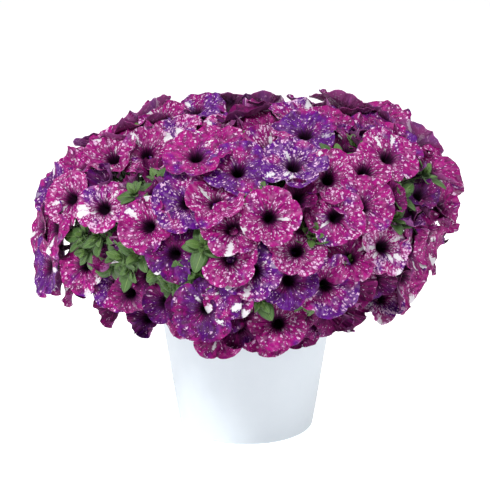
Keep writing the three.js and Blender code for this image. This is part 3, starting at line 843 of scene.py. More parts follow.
@dataclass(frozen=True)
class FloorFinish:
    """A plain pale studio floor."""

    pale: Colour = (0.93, 0.93, 0.935)
    worn: Colour = (0.91, 0.91, 0.915)
    mottle: tuple[float, float] = (2.0, 1.0)
    relief: float = 0.0001
    glow: float = 0.72

    def material(self) -> bpy.types.Material:
        """Builds the floor's material.

        Returns:
            The material.
        """
        material, w = new_material("studio_floor")
        mottle = mottled(w, w.place(), *self.mottle)
        colour = w.mix(mottle.outputs["Value"], self.pale, self.worn)
        white = {"Emission_Color": (1.0, 1.0, 1.0, 1.0), "Emission_Strength": self.glow}
        w.surface(0.8, colour, mottle.outputs["Grain"], self.relief, **white)
        return material


# ---------------------------------------------------------------- the rule that places the plant
@dataclass(frozen=True)
class Dome:
    """The overhanging dome that the blooms lie on, in millimetres, as in the CAD source."""

    across: float = 276.0
    up: float = 142.0
    middle: float = 288.0
    box_above: float = 3.4
    box_below: float = 1.9
    layer: float = 42.0
    lean: float = 0.1
    lowest: float = -27.0
    cut_in: float = 0.22
    cut_aside: float = 0.6
    front_drop: float = 13.0
    bumps: tuple[tuple[float, int, float], ...] = ((0.02, 3, 0.6), (0.015, 5, 2.0))
    view_down: float = math.radians(14.5)
    eye: tuple[float, float, float] = (0.0, -2470.0, 930.0)
    walk_from: float = 390.0
    walk_step: float = 2.0
    nearer: float = 0.98

    @property
    def heart(self) -> Array:
        """The dome's middle point."""
        return np.array([0.0, 0.0, self.middle])

    def axes(self, depth: float) -> Array:
        """The half widths of the ellipsoid, sunk in by a depth."""
        return np.array([self.across - depth, self.across - depth, self.up - depth])

    def bulge(self, u: Array) -> Array:
        """How far the dome stands out from a plain ellipsoid: boxy shoulders, a lean and soft bumps.

        Args:
            u: Directions of length 1.

        Returns:
            The factor in each direction.
        """
        level = np.hypot(u[..., 0], u[..., 1])
        bearing = np.arctan2(u[..., 0], -u[..., 1])
        box = np.where(u[..., 2] > 0, self.box_above, self.box_below)
        boxy = (level**box + np.abs(u[..., 2]) ** box) ** (-1 / box)
        bumps = sum(high * np.sin(count * bearing + swing) for high, count, swing in self.bumps)
        corner = np.sin(2 * bearing)
        cut_in = self.cut_in * np.maximum(0, -u[..., 2]) * corner**2 * (1 - self.cut_aside * corner)
        return boxy * (1 + self.lean * u[..., 0] * u[..., 2] + level * (bumps - cut_in))

    def share(self, point: Array, depth: float = 0.0) -> Array:
        """A point's place as a share of the way out to the dome: 1 is on it.

        Args:
            point: The point, in millimetres.
            depth: How far under the dome 1 lies.

        Returns:
            The share.
        """
        u = (point - self.heart) / self.axes(depth)
        long = np.linalg.norm(u, axis=-1)
        return long / self.bulge(u / long[..., None])

    def onto(self, point: Array, depth: float = 0.0) -> Array:
        """The point on the dome on the ray from its middle through a point."""
        return (point - self.heart) / self.share(point, depth)[..., None] + self.heart

    def at(self, u: Array, depth: float = 0.0) -> Array:
        """The dome's point in a direction of the ellipsoid's stretched space."""
        return self.onto(u * self.axes(0.0) + self.heart, depth)

    def outward(self, point: Array) -> Array:
        """The outward normal at a point, as an ellipsoid's."""
        return unit((point - self.heart) / self.axes(0.0) ** 2)

    def spot_axis(self) -> Array:
        """The upward direction of the plane through the pot's base that spots are measured on."""
        return np.array([0.0, math.sin(self.view_down), math.cos(self.view_down)])

    def seen_at(self, across: float, up: float) -> Array:
        """The dome's point seen at a spot from the photographed side, by walking in along its sight line.

        Args:
            across: How far right of the middle.
            up: How far up.

        Returns:
            The point.
        """
        start = np.array([across, 0.0, 0.0]) + up * self.spot_axis()
        sight = unit(start - np.array(self.eye))
        walk = start + np.arange(-self.walk_from, 0, self.walk_step)[:, None] * sight
        inside = np.nonzero(self.share(walk) <= 1)[0]
        if len(inside):
            return self.raised(walk[inside[0]])
        return self.seen_at(across * self.nearer, self.middle + (up - self.middle) * self.nearer)

    def low_share(self) -> float:
        """The sine of the lowest height angle that blooms grow at."""
        return math.sin(math.radians(self.lowest - self.front_drop))

    def raised(self, point: Array) -> Array:
        """A point on the dome, no lower than the lowest blooms of its bearing.

        Args:
            point: A point near the dome.

        Returns:
            The point on the dome.
        """
        at = self.onto(point)
        bearing = math.atan2(at[0], -at[1])
        angle = self.lowest - self.front_drop * max(0.0, math.cos(bearing))
        at[2] = max(at[2], self.at(direction(bearing, math.radians(angle)))[2])
        return self.onto(at)

    def view_spot(self, point: Array) -> Array:
        """Where a point is seen from the photographed side, as across and up.

        Args:
            point: The point.

        Returns:
            Its place across and up, in millimetres.
        """
        eye = np.array(self.eye)
        square_on = np.array([0.0, math.cos(self.view_down), -math.sin(self.view_down)])
        reach = (-eye @ square_on) / ((point - eye) @ square_on)
        hit = eye + reach * (point - eye)
        return np.array([hit[0], hit @ self.spot_axis()])


class Kind(Enum):
    """What grows at a place on the dome."""

    BLOOM = "bloom"
    TIP = "tip"


@dataclass(frozen=True)
class Growth:
    """How blooms differ, as in the CAD source: tilts in radians, sizes in millimetres, the rest shares."""

    seed: int = 7919
    tilt: float = math.radians(26)
    least_tilt: float = 0.35
    towards_eye: float = 0.45
    lifted: float = 1.1
    deepest: float = 9.0
    radius: float = 34.0
    larger: float = 6.0


GROWTH = Growth()


@dataclass
class Site:
    """A place on the dome with what grows there. Its limb is the middle of the bloom's face."""

    kind: Kind
    is_open: bool
    at: Array
    is_young: bool = False
    index: int = 0
    draws: Draws = field(default_factory=lambda: Draws(1))
    normal: Array = field(default_factory=lambda: np.zeros(3))
    facing: Array = field(default_factory=lambda: np.zeros(3))
    limb: Array = field(default_factory=lambda: np.zeros(3))
    seat: Array = field(default_factory=lambda: np.zeros(3))
    radius: float = GROWTH.radius
    turn: float = 0.0

    def grow(self, dome: Dome, index: int) -> None:
        """Draws the place's size, facing, turn and depth, in the CAD source's order.

        Args:
            dome: The dome that it lies on.
            index: Its number, which seeds its draws.
        """
        self.index = index
        self.draws = draw = Draws.warmed(GROWTH.seed * (index + 1))
        self.normal = dome.outward(self.at)
        tilt = GROWTH.tilt * (GROWTH.least_tilt + (0.0 if self.is_open else (1 - GROWTH.least_tilt) * draw()))
        swing = math.tau * draw()
        aside = unit(np.cross([0.0, 0.0, 1.0], self.normal))
        upward = np.cross(self.normal, aside)
        to_eye = np.array([0.0, -math.cos(dome.view_down), math.sin(dome.view_down)])
        facing = self.normal + (to_eye - self.normal) * (GROWTH.towards_eye if self.is_open else 0.0)
        facing[2] += max(0.0, -GROWTH.lifted * self.normal[2])
        self.facing = unit(unit(facing) * math.cos(tilt) + math.sin(tilt) * fan((aside, upward), swing))
        sunk = 0.0 if self.is_open else GROWTH.deepest * draw()
        self.radius = GROWTH.radius + GROWTH.larger * (0.5 + 0.5 * draw() if self.is_open else draw())
        self.sink(dome, sunk)
        self.turn = math.tau * draw()

    def sink(self, dome: Dome, depth: float) -> None:
        """Puts the limb at a depth under the dome, and the seat under it, where the calyx is."""
        self.limb = self.at - self.normal * depth
        self.seat = dome.onto(self.limb, dome.layer)

    def room(self, of_bloom: float, of_tip: float) -> float:
        """How far it reaches: a share of a bloom's radius, or what a shoot tip takes."""
        return self.radius * of_bloom if self.kind is Kind.BLOOM else of_tip


@dataclass
class Planting:
    """The places of blooms and shoot tips: spots on the photographed side, an eased spiral for the rest."""

    dome: Dome = field(default_factory=Dome)
    open_blooms: tuple[tuple[float, float], ...] = (
        (-189, 376), (-141, 381), (-99, 392), (-141, 278), (-103, 240), (-202, 304), (-251, 317),
        (-270, 216), (-43, 311), (-86, 314), (-20, 274), (-26, 232), (-26, 186), (-58, 158),
        (-185, 194), (-132, 166), (33, 387), (62, 362), (116, 345), (125, 292), (166, 357),
        (200, 372), (168, 306), (244, 315), (72, 244), (195, 248), (32, 290), (8, 214), (60, 200),
        (114, 193), (190, 178), (44, 142), (-116, 430), (-43, 422), (75, 433),
    )  # fmt: skip
    shoot_tips: tuple[tuple[float, float], ...] = (
        (-218, 266), (-160, 327), (-158, 240), (-186, 232), (-92, 200), (-76, 176), (-62, 251),
        (3, 410), (155, 402), (131, 378), (258, 358), (214, 296), (104, 158), (141, 142), (20, 168),
    )  # fmt: skip
    spiral: int = 184
    clear: float = 40.0
    reach: float = 72.0
    push: float = 0.2
    rounds: int = 30
    tip_every: int = 11
    tip_offset: int = 5
    tip_behind: float = -60.0

    def sites(self) -> list[Site]:
        """The places with their draws, in the CAD source's order.

        Returns:
            Every place on the dome, before the blooms that the CAD leaves out are taken away.
        """
        found = [Site(Kind.TIP, False, self.dome.seen_at(*spot)) for spot in self.shoot_tips]
        found += [Site(Kind.BLOOM, True, self.dome.seen_at(*spot)) for spot in self.open_blooms]
        fixed = np.array([s.at for s in found])
        low = self.dome.low_share()
        free = 0
        for k in range(self.spiral):
            height = math.asin(low + (1 - low) * ((k + 0.5) / self.spiral))
            at = self.dome.at(direction(k * GOLDEN, height))
            if np.linalg.norm(fixed - at, axis=1).min() < self.clear:
                continue
            is_tip = free % self.tip_every == self.tip_offset and at[1] > self.tip_behind
            found.append(Site(Kind.TIP if is_tip else Kind.BLOOM, False, at))
            free += 1
        self.ease(found, len(fixed))
        for index, site in enumerate(found):
            site.grow(self.dome, index)
        return found

    def ease(self, found: list[Site], fixed: int) -> None:
        """Moves the free places evenly apart, each in turn, along the dome.

        Args:
            found: All the places.
            fixed: How many of them, at the start, stay.
        """
        at = np.array([s.at for s in found])
        for _ in range(self.rounds):
            for k in range(fixed, len(found)):
                away = at[k] - at
                gap = np.linalg.norm(away, axis=1)
                close = (gap > 0) & (gap < self.reach)
                push = self.push * (self.reach - gap[close]) / gap[close]
                at[k] = self.dome.raised(at[k] + push @ away[close])
        for site, place in zip(found, at):
            site.at = place


@dataclass
class PackedBlooms:
    """Reads from a packed bunch where each of its blooms stands and faces."""

    dome: Dome
    neck_side: float = 7.0 * math.sqrt(3)
    neck_depth: float = 18.0
    side_off: float = 0.02
    match_off: float = 0.5
    foot_off: float = 3e-4
    digits: int = 6
    round_step: float = 0.55
    rounds: int = 8
    late_step: float = 2.0
    round_growth: float = 1.02
    widest: float = 44.0

    def read(self, node: bpy.types.Object) -> list[tuple[Array, Array | None]]:
        """Finds the blooms' feet, and the triangle of each one's neck.

        Args:
            node: The bunch's CAD object.

        Returns:
            For each foot its place, and its neck's three corners or None where the neck was bent.
        """
        mesh = node.data
        flat = np.empty(len(mesh.vertices) * 3)
        mesh.vertices.foreach_get("co", flat)
        rounded = np.round(flat.reshape(-1, 3), self.digits)
        points, inverse = np.unique(rounded, axis=0, return_inverse=True)
        points = points / MM
        ends = np.empty(len(mesh.edges) * 2, int)
        mesh.edges.foreach_get("vertices", ends)
        joined: dict[int, set[int]] = {}
        for a, b in inverse.ravel()[ends].reshape(-1, 2):
            if a != b:
                joined.setdefault(int(a), set()).add(int(b))
                joined.setdefault(int(b), set()).add(int(a))
        feet = np.nonzero(np.abs(self.dome.share(points, self.dome.layer) - 1) < self.foot_off)[0]
        return [(points[f], self.neck(points, joined[int(f)])) for f in feet]

    def neck(self, points: Array, around: set[int]) -> Array | None:
        """The three points round a foot that stand as far apart as a neck's corners, or None.

        Args:
            points: All the bunch's points.
            around: The numbers of those joined to the foot.

        Returns:
            The three points, shape (3, 3), or None.
        """
        for trio in itertools.combinations(sorted(around), 3):
            corners = points[list(trio)]
            sides = np.linalg.norm(corners - np.roll(corners, 1, axis=0), axis=1)
            if np.all(np.abs(sides - self.neck_side) < self.side_off):
                return corners
        return None

    def place(self, site: Site, neck: Array) -> None:
        """Moves a place's limb and facing to where the CAD's neck says, and widens a limb that moved far.

        Args:
            site: The bloom's place.
            neck: Its neck's corners.
        """
        facing = unit(np.cross(neck[1] - neck[0], neck[2] - neck[0]))
        if facing @ (neck.mean(0) - site.seat) < 0:
            facing = -facing
        limb = neck.mean(0) + self.neck_depth * facing
        moved = float(np.linalg.norm(limb - site.limb))
        late = max(0.0, moved - self.rounds * self.round_step) / self.late_step
        rounds = min(moved / self.round_step, self.rounds) + late
        site.radius = min(site.radius * self.round_growth**rounds, self.widest)
        site.facing = facing
        site.limb = limb


@dataclass
class Fillers:
    """What fills the gaps: shoot tips, blooms that hang from the lower edge, and young half-open blooms."""

    dome: Dome
    count: int = 70
    first_index: int = 1000
    least_gap: float = 3.0
    trials: int = 5000
    bloom_room: float = 0.86
    young_room: float = 0.9
    tip_room: float = 17.0
    sunk: tuple[float, float] = (5.0, 13.0)
    radius: tuple[float, float] = (19.0, 27.0)
    hanging: tuple[tuple[float, float], ...] = (
        (-198, 158), (-168, 178), (-141, 146), (-118, 168), (-95, 132), (-52, 140), (-14, 132), (32, 128),
        (78, 122), (118, 116), (120, 150), (148, 155), (179, 165), (158, 190), (-82, 160), (-22, 160),
    )  # fmt: skip
    hanging_sunk: tuple[float, float] = (0.0, 4.0)
    hanging_radius: tuple[float, float] = (26.0, 33.0)
    hanging_gap: float = -14.0
    skirt_cut: float = 0.06
    skirt_lowest: float = -33.0
    skirt_drop: float = 12.0
    tips: tuple[tuple[float, float], ...] = (
        (-242, 268), (-238, 240), (-204, 215), (-176, 210), (-128, 214), (-112, 190), (-70, 214),
        (-42, 176), (-128, 352), (18, 330), (96, 268), (222, 330), (150, 222), (88, 168),
    )  # fmt: skip
    tip_sunk: float = 8.0

    def spread(self) -> Array:
        """Points spread evenly over the part of the dome that blooms grow on.

        Returns:
            The points, shape (count, 3).
        """
        low = self.dome.low_share()
        heights = np.arcsin(low + (1 - low) * (np.arange(self.trials) + 0.5) / self.trials)
        bearings = np.arange(self.trials) * GOLDEN
        level = np.cos(heights)
        rays = np.stack([np.sin(bearings) * level, -np.cos(bearings) * level, np.sin(heights)], -1)
        trials = self.dome.at(rays)
        limits = np.array([self.dome.raised(trial)[2] for trial in trials])
        return trials[trials[:, 2] > limits - 1]

    def fill(self, sites: list[Site], held: dict[str, list[Site]]) -> None:
        """Adds the tips, and then the blooms, each to the bunch of its nearest packed bloom.

        Args:
            sites: Every place, which gains the new ones.
            held: The places of each bunch, which gain them too.
        """
        numbers = itertools.count(self.first_index)
        for spot in self.tips:
            tip = Site(Kind.TIP, False, self.dome.seen_at(*spot))
            tip.grow(self.dome, next(numbers))
            tip.limb = tip.at - tip.normal * self.tip_sunk
            sites.append(tip)
        trials = self.spread()
        clear = np.full(len(trials), np.inf)
        for site in sites:
            room = site.room(self.bloom_room, self.tip_room)
            clear = np.minimum(clear, np.linalg.norm(trials - site.limb, axis=1) - room)
        owners = [(name, site) for name, bunch in held.items() for site in bunch]
        places = np.array([site.limb for _, site in owners])

        def add(at: Array, sunk: tuple[float, float], radius: tuple[float, float]) -> None:
            """Adds one bloom, to the bunch of its nearest bloom, and takes the room that it fills.

            Args:
                at: Its place on the dome.
                sunk: Its least and most depth.
                radius: Its radius's limits.
            """
            nonlocal clear
            young = Site(Kind.BLOOM, False, at, is_young=True)
            young.grow(self.dome, next(numbers))
            young.sink(self.dome, young.draws.between(*sunk))
            young.radius = young.draws.between(*radius)
            owner = owners[int(np.linalg.norm(places - young.limb, axis=1).argmin())][0]
            held[owner].append(young)
            sites.append(young)
            room = young.room(self.young_room, self.tip_room)
            clear = np.minimum(clear, np.linalg.norm(trials - young.limb, axis=1) - room)

        before = len(sites)
        skirt = replace(
            self.dome, cut_in=self.skirt_cut, lowest=self.skirt_lowest, front_drop=self.skirt_drop
        )
        for spot in self.hanging:
            at = skirt.seen_at(*spot)
            gaps = [np.linalg.norm(at - site.limb) - site.room(1.0, self.tip_room) for site in sites]
            if min(gaps) > self.hanging_gap:
                add(at, self.hanging_sunk, self.hanging_radius)
        LOG.info("%d hanging blooms", len(sites) - before)
        for _ in range(self.count):
            best = int(clear.argmax())
            if clear[best] < self.least_gap:
                break
            add(trials[best], self.sunk, self.radius)
        LOG.info("%d hanging and young blooms in all", len(sites) - before)


# ---------------------------------------------------------------- blooms
class Tone(Enum):
    """A bloom's colouring, as violet share, paleness and blotches."""

    MAGENTA = (0.22, 0.55, 0.40)
    ROSE = (0.06, 0.62, 0.35)
    MIXED = (0.40, 0.62, 0.45)
    VIOLET = (0.60, 0.60, 0.45)
    PALE = (0.42, 1.0, 0.80)
    DARK = (0.62, 0.25, 0.25)
    PLAIN = (0.18, 0.0, 0.0)


class Habit(Enum):
    """How a bloom's limb is held: its cup, saddle, ruffle and the lift of one folded lobe, in millimetres."""

    FLAT = (1.5, 2.8, 2.6, 0.0)
    CUPPED = (8.5, 3.0, 3.0, 0.0)
    FLOPPED = (-3.0, 7.5, 4.2, 0.0)
    FOLDED = (2.0, 3.5, 3.2, 16.0)


@dataclass
class BloomBunches:
    """The blooms: closed skins from the calyx up the tube, out under the limb, and back into the throat."""

    dome: Dome
    sites: list[Site]
    places: int = 60
    thickness: float = 0.45
    tube: tuple[tuple[float, float], ...] = (
        (2.3, 33.0), (2.9, 28.0), (3.7, 23.0), (4.8, 18.0), (6.1, 13.5), (7.7, 9.8), (9.8, 6.9), (13.0, 4.7),
    )  # fmt: skip
    limb_rows: tuple[float, ...] = (0.14, 0.28, 0.42, 0.55, 0.67, 0.78, 0.88, 0.95, 1.0)
    tones: tuple[tuple[float, float, Tone], ...] = (
        (-191, 380, Tone.ROSE), (-142, 385, Tone.MAGENTA), (-98, 395, Tone.PALE),
        (-142, 280, Tone.MAGENTA), (-109, 246, Tone.DARK), (-205, 309, Tone.PALE), (-254, 320, Tone.ROSE),
        (-274, 273, Tone.MAGENTA), (-267, 230, Tone.MIXED), (-295, 226, Tone.DARK),
        (-201, 189, Tone.VIOLET), (-154, 193, Tone.ROSE), (-142, 147, Tone.VIOLET), (-97, 127, Tone.MIXED),
        (-117, 436, Tone.MAGENTA), (-49, 420, Tone.MIXED), (-46, 313, Tone.MAGENTA), (-87, 312, Tone.VIOLET),
        (-26, 279, Tone.ROSE), (-68, 279, Tone.MAGENTA), (-22, 235, Tone.ROSE), (-2, 204, Tone.VIOLET),
        (-61, 163, Tone.DARK), (-26, 186, Tone.MIXED), (46, 140, Tone.ROSE), (31, 390, Tone.MIXED),
        (59, 370, Tone.VIOLET), (117, 349, Tone.MAGENTA), (125, 299, Tone.MAGENTA), (165, 306, Tone.MIXED),
        (74, 249, Tone.ROSE), (52, 212, Tone.DARK), (28, 295, Tone.MAGENTA), (75, 303, Tone.ROSE),
        (194, 373, Tone.MAGENTA), (168, 360, Tone.ROSE), (194, 253, Tone.PALE), (194, 177, Tone.PALE),
        (114, 193, Tone.VIOLET), (245, 317, Tone.VIOLET), (75, 439, Tone.PALE), (168, 423, Tone.VIOLET),
        (234, 418, Tone.ROSE), (61, 346, Tone.PLAIN), (-14, 430, Tone.PLAIN), (-262, 388, Tone.PLAIN),
    )  # fmt: skip

    common: tuple[tuple[float, Tone], ...] = (
        (0.40, Tone.MAGENTA), (0.62, Tone.ROSE), (0.80, Tone.MIXED), (0.93, Tone.VIOLET), (1.1, Tone.PALE),
    )  # fmt: skip
    tone_reach: float = 22.0
    turned_away: float = 0.2
    # painted light and shade: how far paleness and blotches are scaled on open, other and young blooms;
    # raised on open blooms as painted light, lowered on young blooms in the gaps as painted shade
    painted_light_and_shade: tuple[float, float, float] = (1.35, 0.85, 0.35)
    violet_spread: float = 0.16
    pale_spread: tuple[float, float] = (0.8, 0.4)
    blotch_spread: tuple[float, float] = (0.7, 0.6)
    habits: tuple[tuple[float, Habit], ...] = (
        (0.58, Habit.FLAT), (0.76, Habit.CUPPED), (0.90, Habit.FLOPPED), (1.1, Habit.FOLDED),
    )  # fmt: skip
    open_pick: float = 0.72
    young_pick: float = 0.58
    seed: int = 50021
    notch: float = 0.86
    point: float = 0.018
    point_width: float = 0.12
    uneven: float = 0.1
    rim_back: tuple[float, float, float] = (1.5, 6.0, 2.5)
    ruffles: tuple[int, ...] = (5, 8, 13, 17)
    valley: tuple[float, float] = (1.7, 2.2)
    ridge: tuple[float, float] = (1.5, 1.9)
    ridge_from: float = 4.0
    lobe_lift: float = 11.0
    fold_from: float = 0.35
    overlap: float = 5.0
    overlap_slope: float = 0.42
    overlap_most: float = 11.0
    lift_limits: tuple[float, float] = (-16.0, 14.0)
    near: float = 12.0
    tip_room: float = 20.0
    open_lead: float = 5.0
    even_lead: float = 0.25
    even_steps: tuple[int, int] = (37, 11)
    bend: float = 13.5
    tube_wall: float = 0.5
    narrowest: float = 0.8
    foot_out: float = 0.4
    throat_in: float = 1.0
    drawn_in: tuple[float, float] = (0.35, 6.0)

    def habit(self, draw: Draws, site: Site) -> Habit:
        """Picks how a bloom is held: mostly flat on the open ones, and never flat on the young ones.

        Args:
            draw: The bloom's draws.
            site: Its place.

        Returns:
            The habit.
        """
        pick = draw()
        if site.is_open:
            pick *= self.open_pick
        if site.is_young:
            pick = self.young_pick + (1 - self.young_pick) * pick
        return next(habit for share, habit in self.habits if pick < share)

    def tone(self, draw: Draws, site: Site) -> Array:
        """A bloom's colouring: the one seen there on the photographed side, or a drawn one.

        Args:
            draw: The bloom's draws.
            site: Its place.

        Returns:
            How violet, pale and blotched it is, with paleness and blotches raised as painted light on open
            blooms and lowered as painted shade on young ones.
        """
        across, up = self.dome.view_spot(site.limb)
        pick = draw()
        chosen = next(tone for share, tone in self.common if pick < share)
        if site.facing[1] < self.turned_away:
            gaps = [math.hypot(across - a, up - u) for a, u, _ in self.tones]
            if min(gaps) < self.tone_reach:
                chosen = self.tones[gaps.index(min(gaps))][2]
        violet, pale, blotch = chosen.value
        # painted light and shade: open blooms are made paler and more blotched, young blooms in the gaps
        # darker
        painted_light_on_open, on_others, painted_shade_on_young = self.painted_light_and_shade
        light = painted_light_on_open if site.is_open else painted_shade_on_young if site.is_young else on_others
        violet += self.violet_spread * (draw() - 0.5)
        pale *= light * (self.pale_spread[0] + self.pale_spread[1] * draw())
        blotch *= light * (self.blotch_spread[0] + self.blotch_spread[1] * draw())
        return np.array([violet, pale, blotch])

    def rim(self, site: Site, angle: Array) -> tuple[Array, Array]:
        """The limb's reach and curl round its rim.

        The reach falls to the notch's share of the radius between two lobes, as the square root of a cosine,
        and has a small point at each lobe's middle. Reach and curl follow the draws that the CAD source makes
        for its ten rim points, joined by smooth steps.

        Args:
            site: The bloom's place.
            angle: Angles from the first lobe's middle.

        Returns:
            The reach and the curl, in millimetres, at each angle.
        """
        draw = Draws(site.index + 1)
        given = np.array([(draw(), draw()) for _ in range(2 * LOBES)])
        steps = angle * LOBES / math.pi
        low = np.floor(steps).astype(int) % (2 * LOBES)
        t = step(0, 1, steps - np.floor(steps))[:, None]
        drawn = given[low] * (1 - t) + given[(low + 1) % (2 * LOBES)] * t
        lobe = np.abs(np.cos(angle * LOBES / 2)) ** 0.5
        tip = np.exp(-((np.sin(angle * LOBES / 2) / self.point_width) ** 2))
        reach = site.radius * (self.notch + (1 - self.notch) * lobe + self.point * tip)
        at_notch, at_lobe, by_draw = self.rim_back
        curl = at_notch - at_lobe * lobe**2 + by_draw * (2 * drawn[:, 1] - 1)
        return reach * (1 - self.uneven / 2 + self.uneven * drawn[:, 0]), curl

    def relief(self, draw: Draws, habit: Habit, angle: Array, t: Array, reach: Array) -> Array:
        """How far the limb stands forward of its plane, by place round it and share of the way out.

        The cup, the saddle (a cosine twice round), the ruffle (harmonics that grow with the cube of the
        share), a valley along each lobe's middle vein and a ridge where two lobes meet (bell curves of the
        distance from them), a lift of each lobe, and one lobe that folds over.

        Args:
            draw: The bloom's draws.
            habit: How the bloom is held.
            angle: Angles round the limb.
            t: Shares of the way from the throat to the rim, as a column.
            reach: The rim's radius at each angle.

        Returns:
            Heights in millimetres, shape (rows, places).
        """
        cup, saddle, ruffle, fold = habit.value
        cup *= 0.7 + 0.6 * draw()
        saddle *= 0.5 + draw()
        height = cup * t**1.6 + saddle * t**1.5 * np.cos(2 * (angle - math.tau * draw()))
        for count in self.ruffles:
            swing = math.tau * draw()
            wave = np.cos(count * angle + swing) * (6 / (count + 3))
            height = height + ruffle * (0.5 + 0.6 * draw()) * t**3 * wave
        across = 2 / LOBES * (self.ridge_from + (reach - self.ridge_from) * t)
        deep, wide = self.valley
        vein = np.exp(-((np.abs(np.sin(angle * LOBES / 2)) * across / wide) ** 2))
        height = height - deep * vein * t * (1.3 - t)
        high, wide = self.ridge
        seam = np.exp(-((np.abs(np.cos(angle * LOBES / 2)) * across / wide) ** 2))
        height = height + high * seam * t
        half = math.pi / LOBES * 2
        for lobe in range(LOBES):
            off = (angle - math.tau * lobe / LOBES + math.pi) % math.tau - math.pi
            hill = np.cos(np.clip(off / half, -1, 1) * math.pi / 2) ** 2
            height = height + self.lobe_lift * (draw() - 0.5) * hill * t**1.6
        folded = math.tau * int(draw() * LOBES) / LOBES
        outer = np.clip((t - self.fold_from) / (1 - self.fold_from), 0, 1)
        return height + fold * np.clip(np.cos(angle - folded), 0, 1) ** 3 * outer**2

    def lift(self, site: Site, points: Array, share: Array) -> Array:
        """Lifts a limb over a lower neighbour where the two overlap, and presses it down under a higher one.

        Past the line between the two the height grows with the distance. The bloom that lies further out is
        the upper one, with a small lead by its number that settles even cases.

        Args:
            site: The bloom's place.
            points: The limb's points, shape (rows, places, 3).
            share: Shares of the way out, as a column.

        Returns:
            Heights in millimetres, shape (rows, places).
        """
        total = np.zeros(points.shape[:2])
        for other in self.sites:
            apart = other.limb - site.limb
            gap = float(np.linalg.norm(apart))
            reach = other.room(1.0, self.tip_room)
            if other is site or gap > site.radius + reach + self.near:
                continue
            middle = gap * site.radius / (site.radius + reach)
            past = (points - site.limb) @ (apart / gap) - middle + self.overlap
            above = float(-apart @ (site.normal + other.normal)) + self.lead(site) - self.lead(other)
            sign = 1.0 if above > 0 and other.kind is Kind.BLOOM else -1.0
            rise = np.clip(self.overlap_slope * np.maximum(past, 0), 0, self.overlap_most)
            total += sign * rise * step(0, 0.4, share)
        return np.clip(total, *self.lift_limits)

    def lead(self, site: Site) -> float:
        """How far out a bloom counts as lying, by its kind and number, where it meets another."""
        times, over = self.even_steps
        return self.open_lead * site.is_open + self.even_lead * ((site.index * times) % over)

    def grow(self, skin: Surface, site: Site) -> None:
        """Adds one bloom to a bunch's skin: up outside the tube, under the limb, and back over it.

        Args:
            skin: The skin to add to.
            site: The bloom's place.
        """
        draw = Draws.warmed(self.seed * (site.index + 3))
        habit = self.habit(draw, site)
        tone = self.tone(draw, site)
        angle = turns(self.places)
        reach, curl = self.rim(site, angle)
        around = fan(square(site.facing), angle + site.turn)
        neck_r, neck_h = self.tube[-1]
        t = np.array(self.limb_rows)[:, None]
        radii = neck_r + (reach - neck_r) * t
        height = -neck_h * (1 - t) ** 1.5 + curl * t**2 + self.relief(draw, habit, angle, t, reach)
        inward, past = self.drawn_in
        radii = radii - inward * np.maximum(height - past, 0) * t
        flat = site.limb + radii[..., None] * around + height[..., None] * site.facing
        limb = flat + self.lift(site, flat, t)[..., None] * site.facing
        tube, tube_r, tube_d = self.funnel(site)
        under = limb - self.thickness * site.facing
        inner = tube[:, None] + np.maximum(tube_r[:, None, None] - self.tube_wall, self.narrowest) * around
        outer = tube[:, None] + tube_r[:, None, None] * around
        rows = np.concatenate([outer, under, limb[::-1], inner[::-1]])
        out = np.concatenate([np.tile(tube_r[:, None], self.places), radii])
        out = np.concatenate([out, out[::-1]])
        depth = np.concatenate([tube_d, np.zeros(len(t))])
        depth = np.concatenate([depth, depth[::-1]])[:, None] * np.ones(self.places)
        seed = np.full_like(out, site.index * GOLDEN_SHARE % 1.0)
        petal = np.stack([out * np.cos(angle), out * np.sin(angle), seed], -1)
        back = (np.arange(len(out)) < len(out) // 2)[:, None, None] * np.ones((*out.shape, 1))
        colouring = np.concatenate([np.broadcast_to(tone, (*out.shape, 3)), back], -1)
        foot = tube[0] - site.normal * self.foot_out
        throat = tube[0] + site.normal * self.throat_in
        skin.skin(rows, foot, throat, petal=petal, tone=colouring, depth=depth[..., None])

    def funnel(self, site: Site) -> tuple[Array, Array, Array]:
        """The tube's middle line, radii and depths, from its seat in the calyx up to the limb.

        Below the funnel's mouth the line is a cubic curve that leaves along the facing and lands on the seat.

        Args:
            site: The bloom's place.

        Returns:
            The middles, the radii and the depths, from the foot up.
        """
        radii, depths = np.array(self.tube).T
        top = site.limb - self.bend * site.facing
        third = float(np.linalg.norm(top - site.seat)) / 3
        pull = top - site.facing * third
        land = site.seat - unit(self.dome.heart - site.seat) * third
        s = np.clip((depths - self.bend) / (depths.max() - self.bend), 0, 1)[:, None]
        upper = (1 - s) ** 3 * top + 3 * (1 - s) ** 2 * s * pull
        curve = upper + 3 * (1 - s) * s**2 * land + s**3 * site.seat
        straight = site.limb - depths[:, None] * site.facing
        return np.where(s > 0, curve, straight), radii, depths

    def build(self, held: dict[str, list[Site]], finish: PetalFinish) -> None:
        """Makes a piece for each bunch, which replaces its CAD node.

        Args:
            held: Each bunch's places, by the name of its CAD node.
            finish: The petals' finish.
        """
        material = finish.material()
        for name, bunch in held.items():
            skin = Surface()
            for site in bunch:
                self.grow(skin, site)
            slot = "petals_magenta" if int(name[-2:]) % 2 else "petals_violet"
            skin.piece(f"{name}_petals", material, slot, name)


# ---------------------------------------------------------------- stems and leaves
@dataclass(frozen=True)
class Blade:
    """A kind of leaf: its shortest and longest length, and its half width as a share of that."""

    short: float
    long: float
    width: float


@dataclass(frozen=True)
class Whorl:
    """A ring of leaves round a shoot tip: how many, how far they open in degrees, and how high they stand."""

    count: int
    blade: Blade
    closed: float
    wide: float
    lift: float


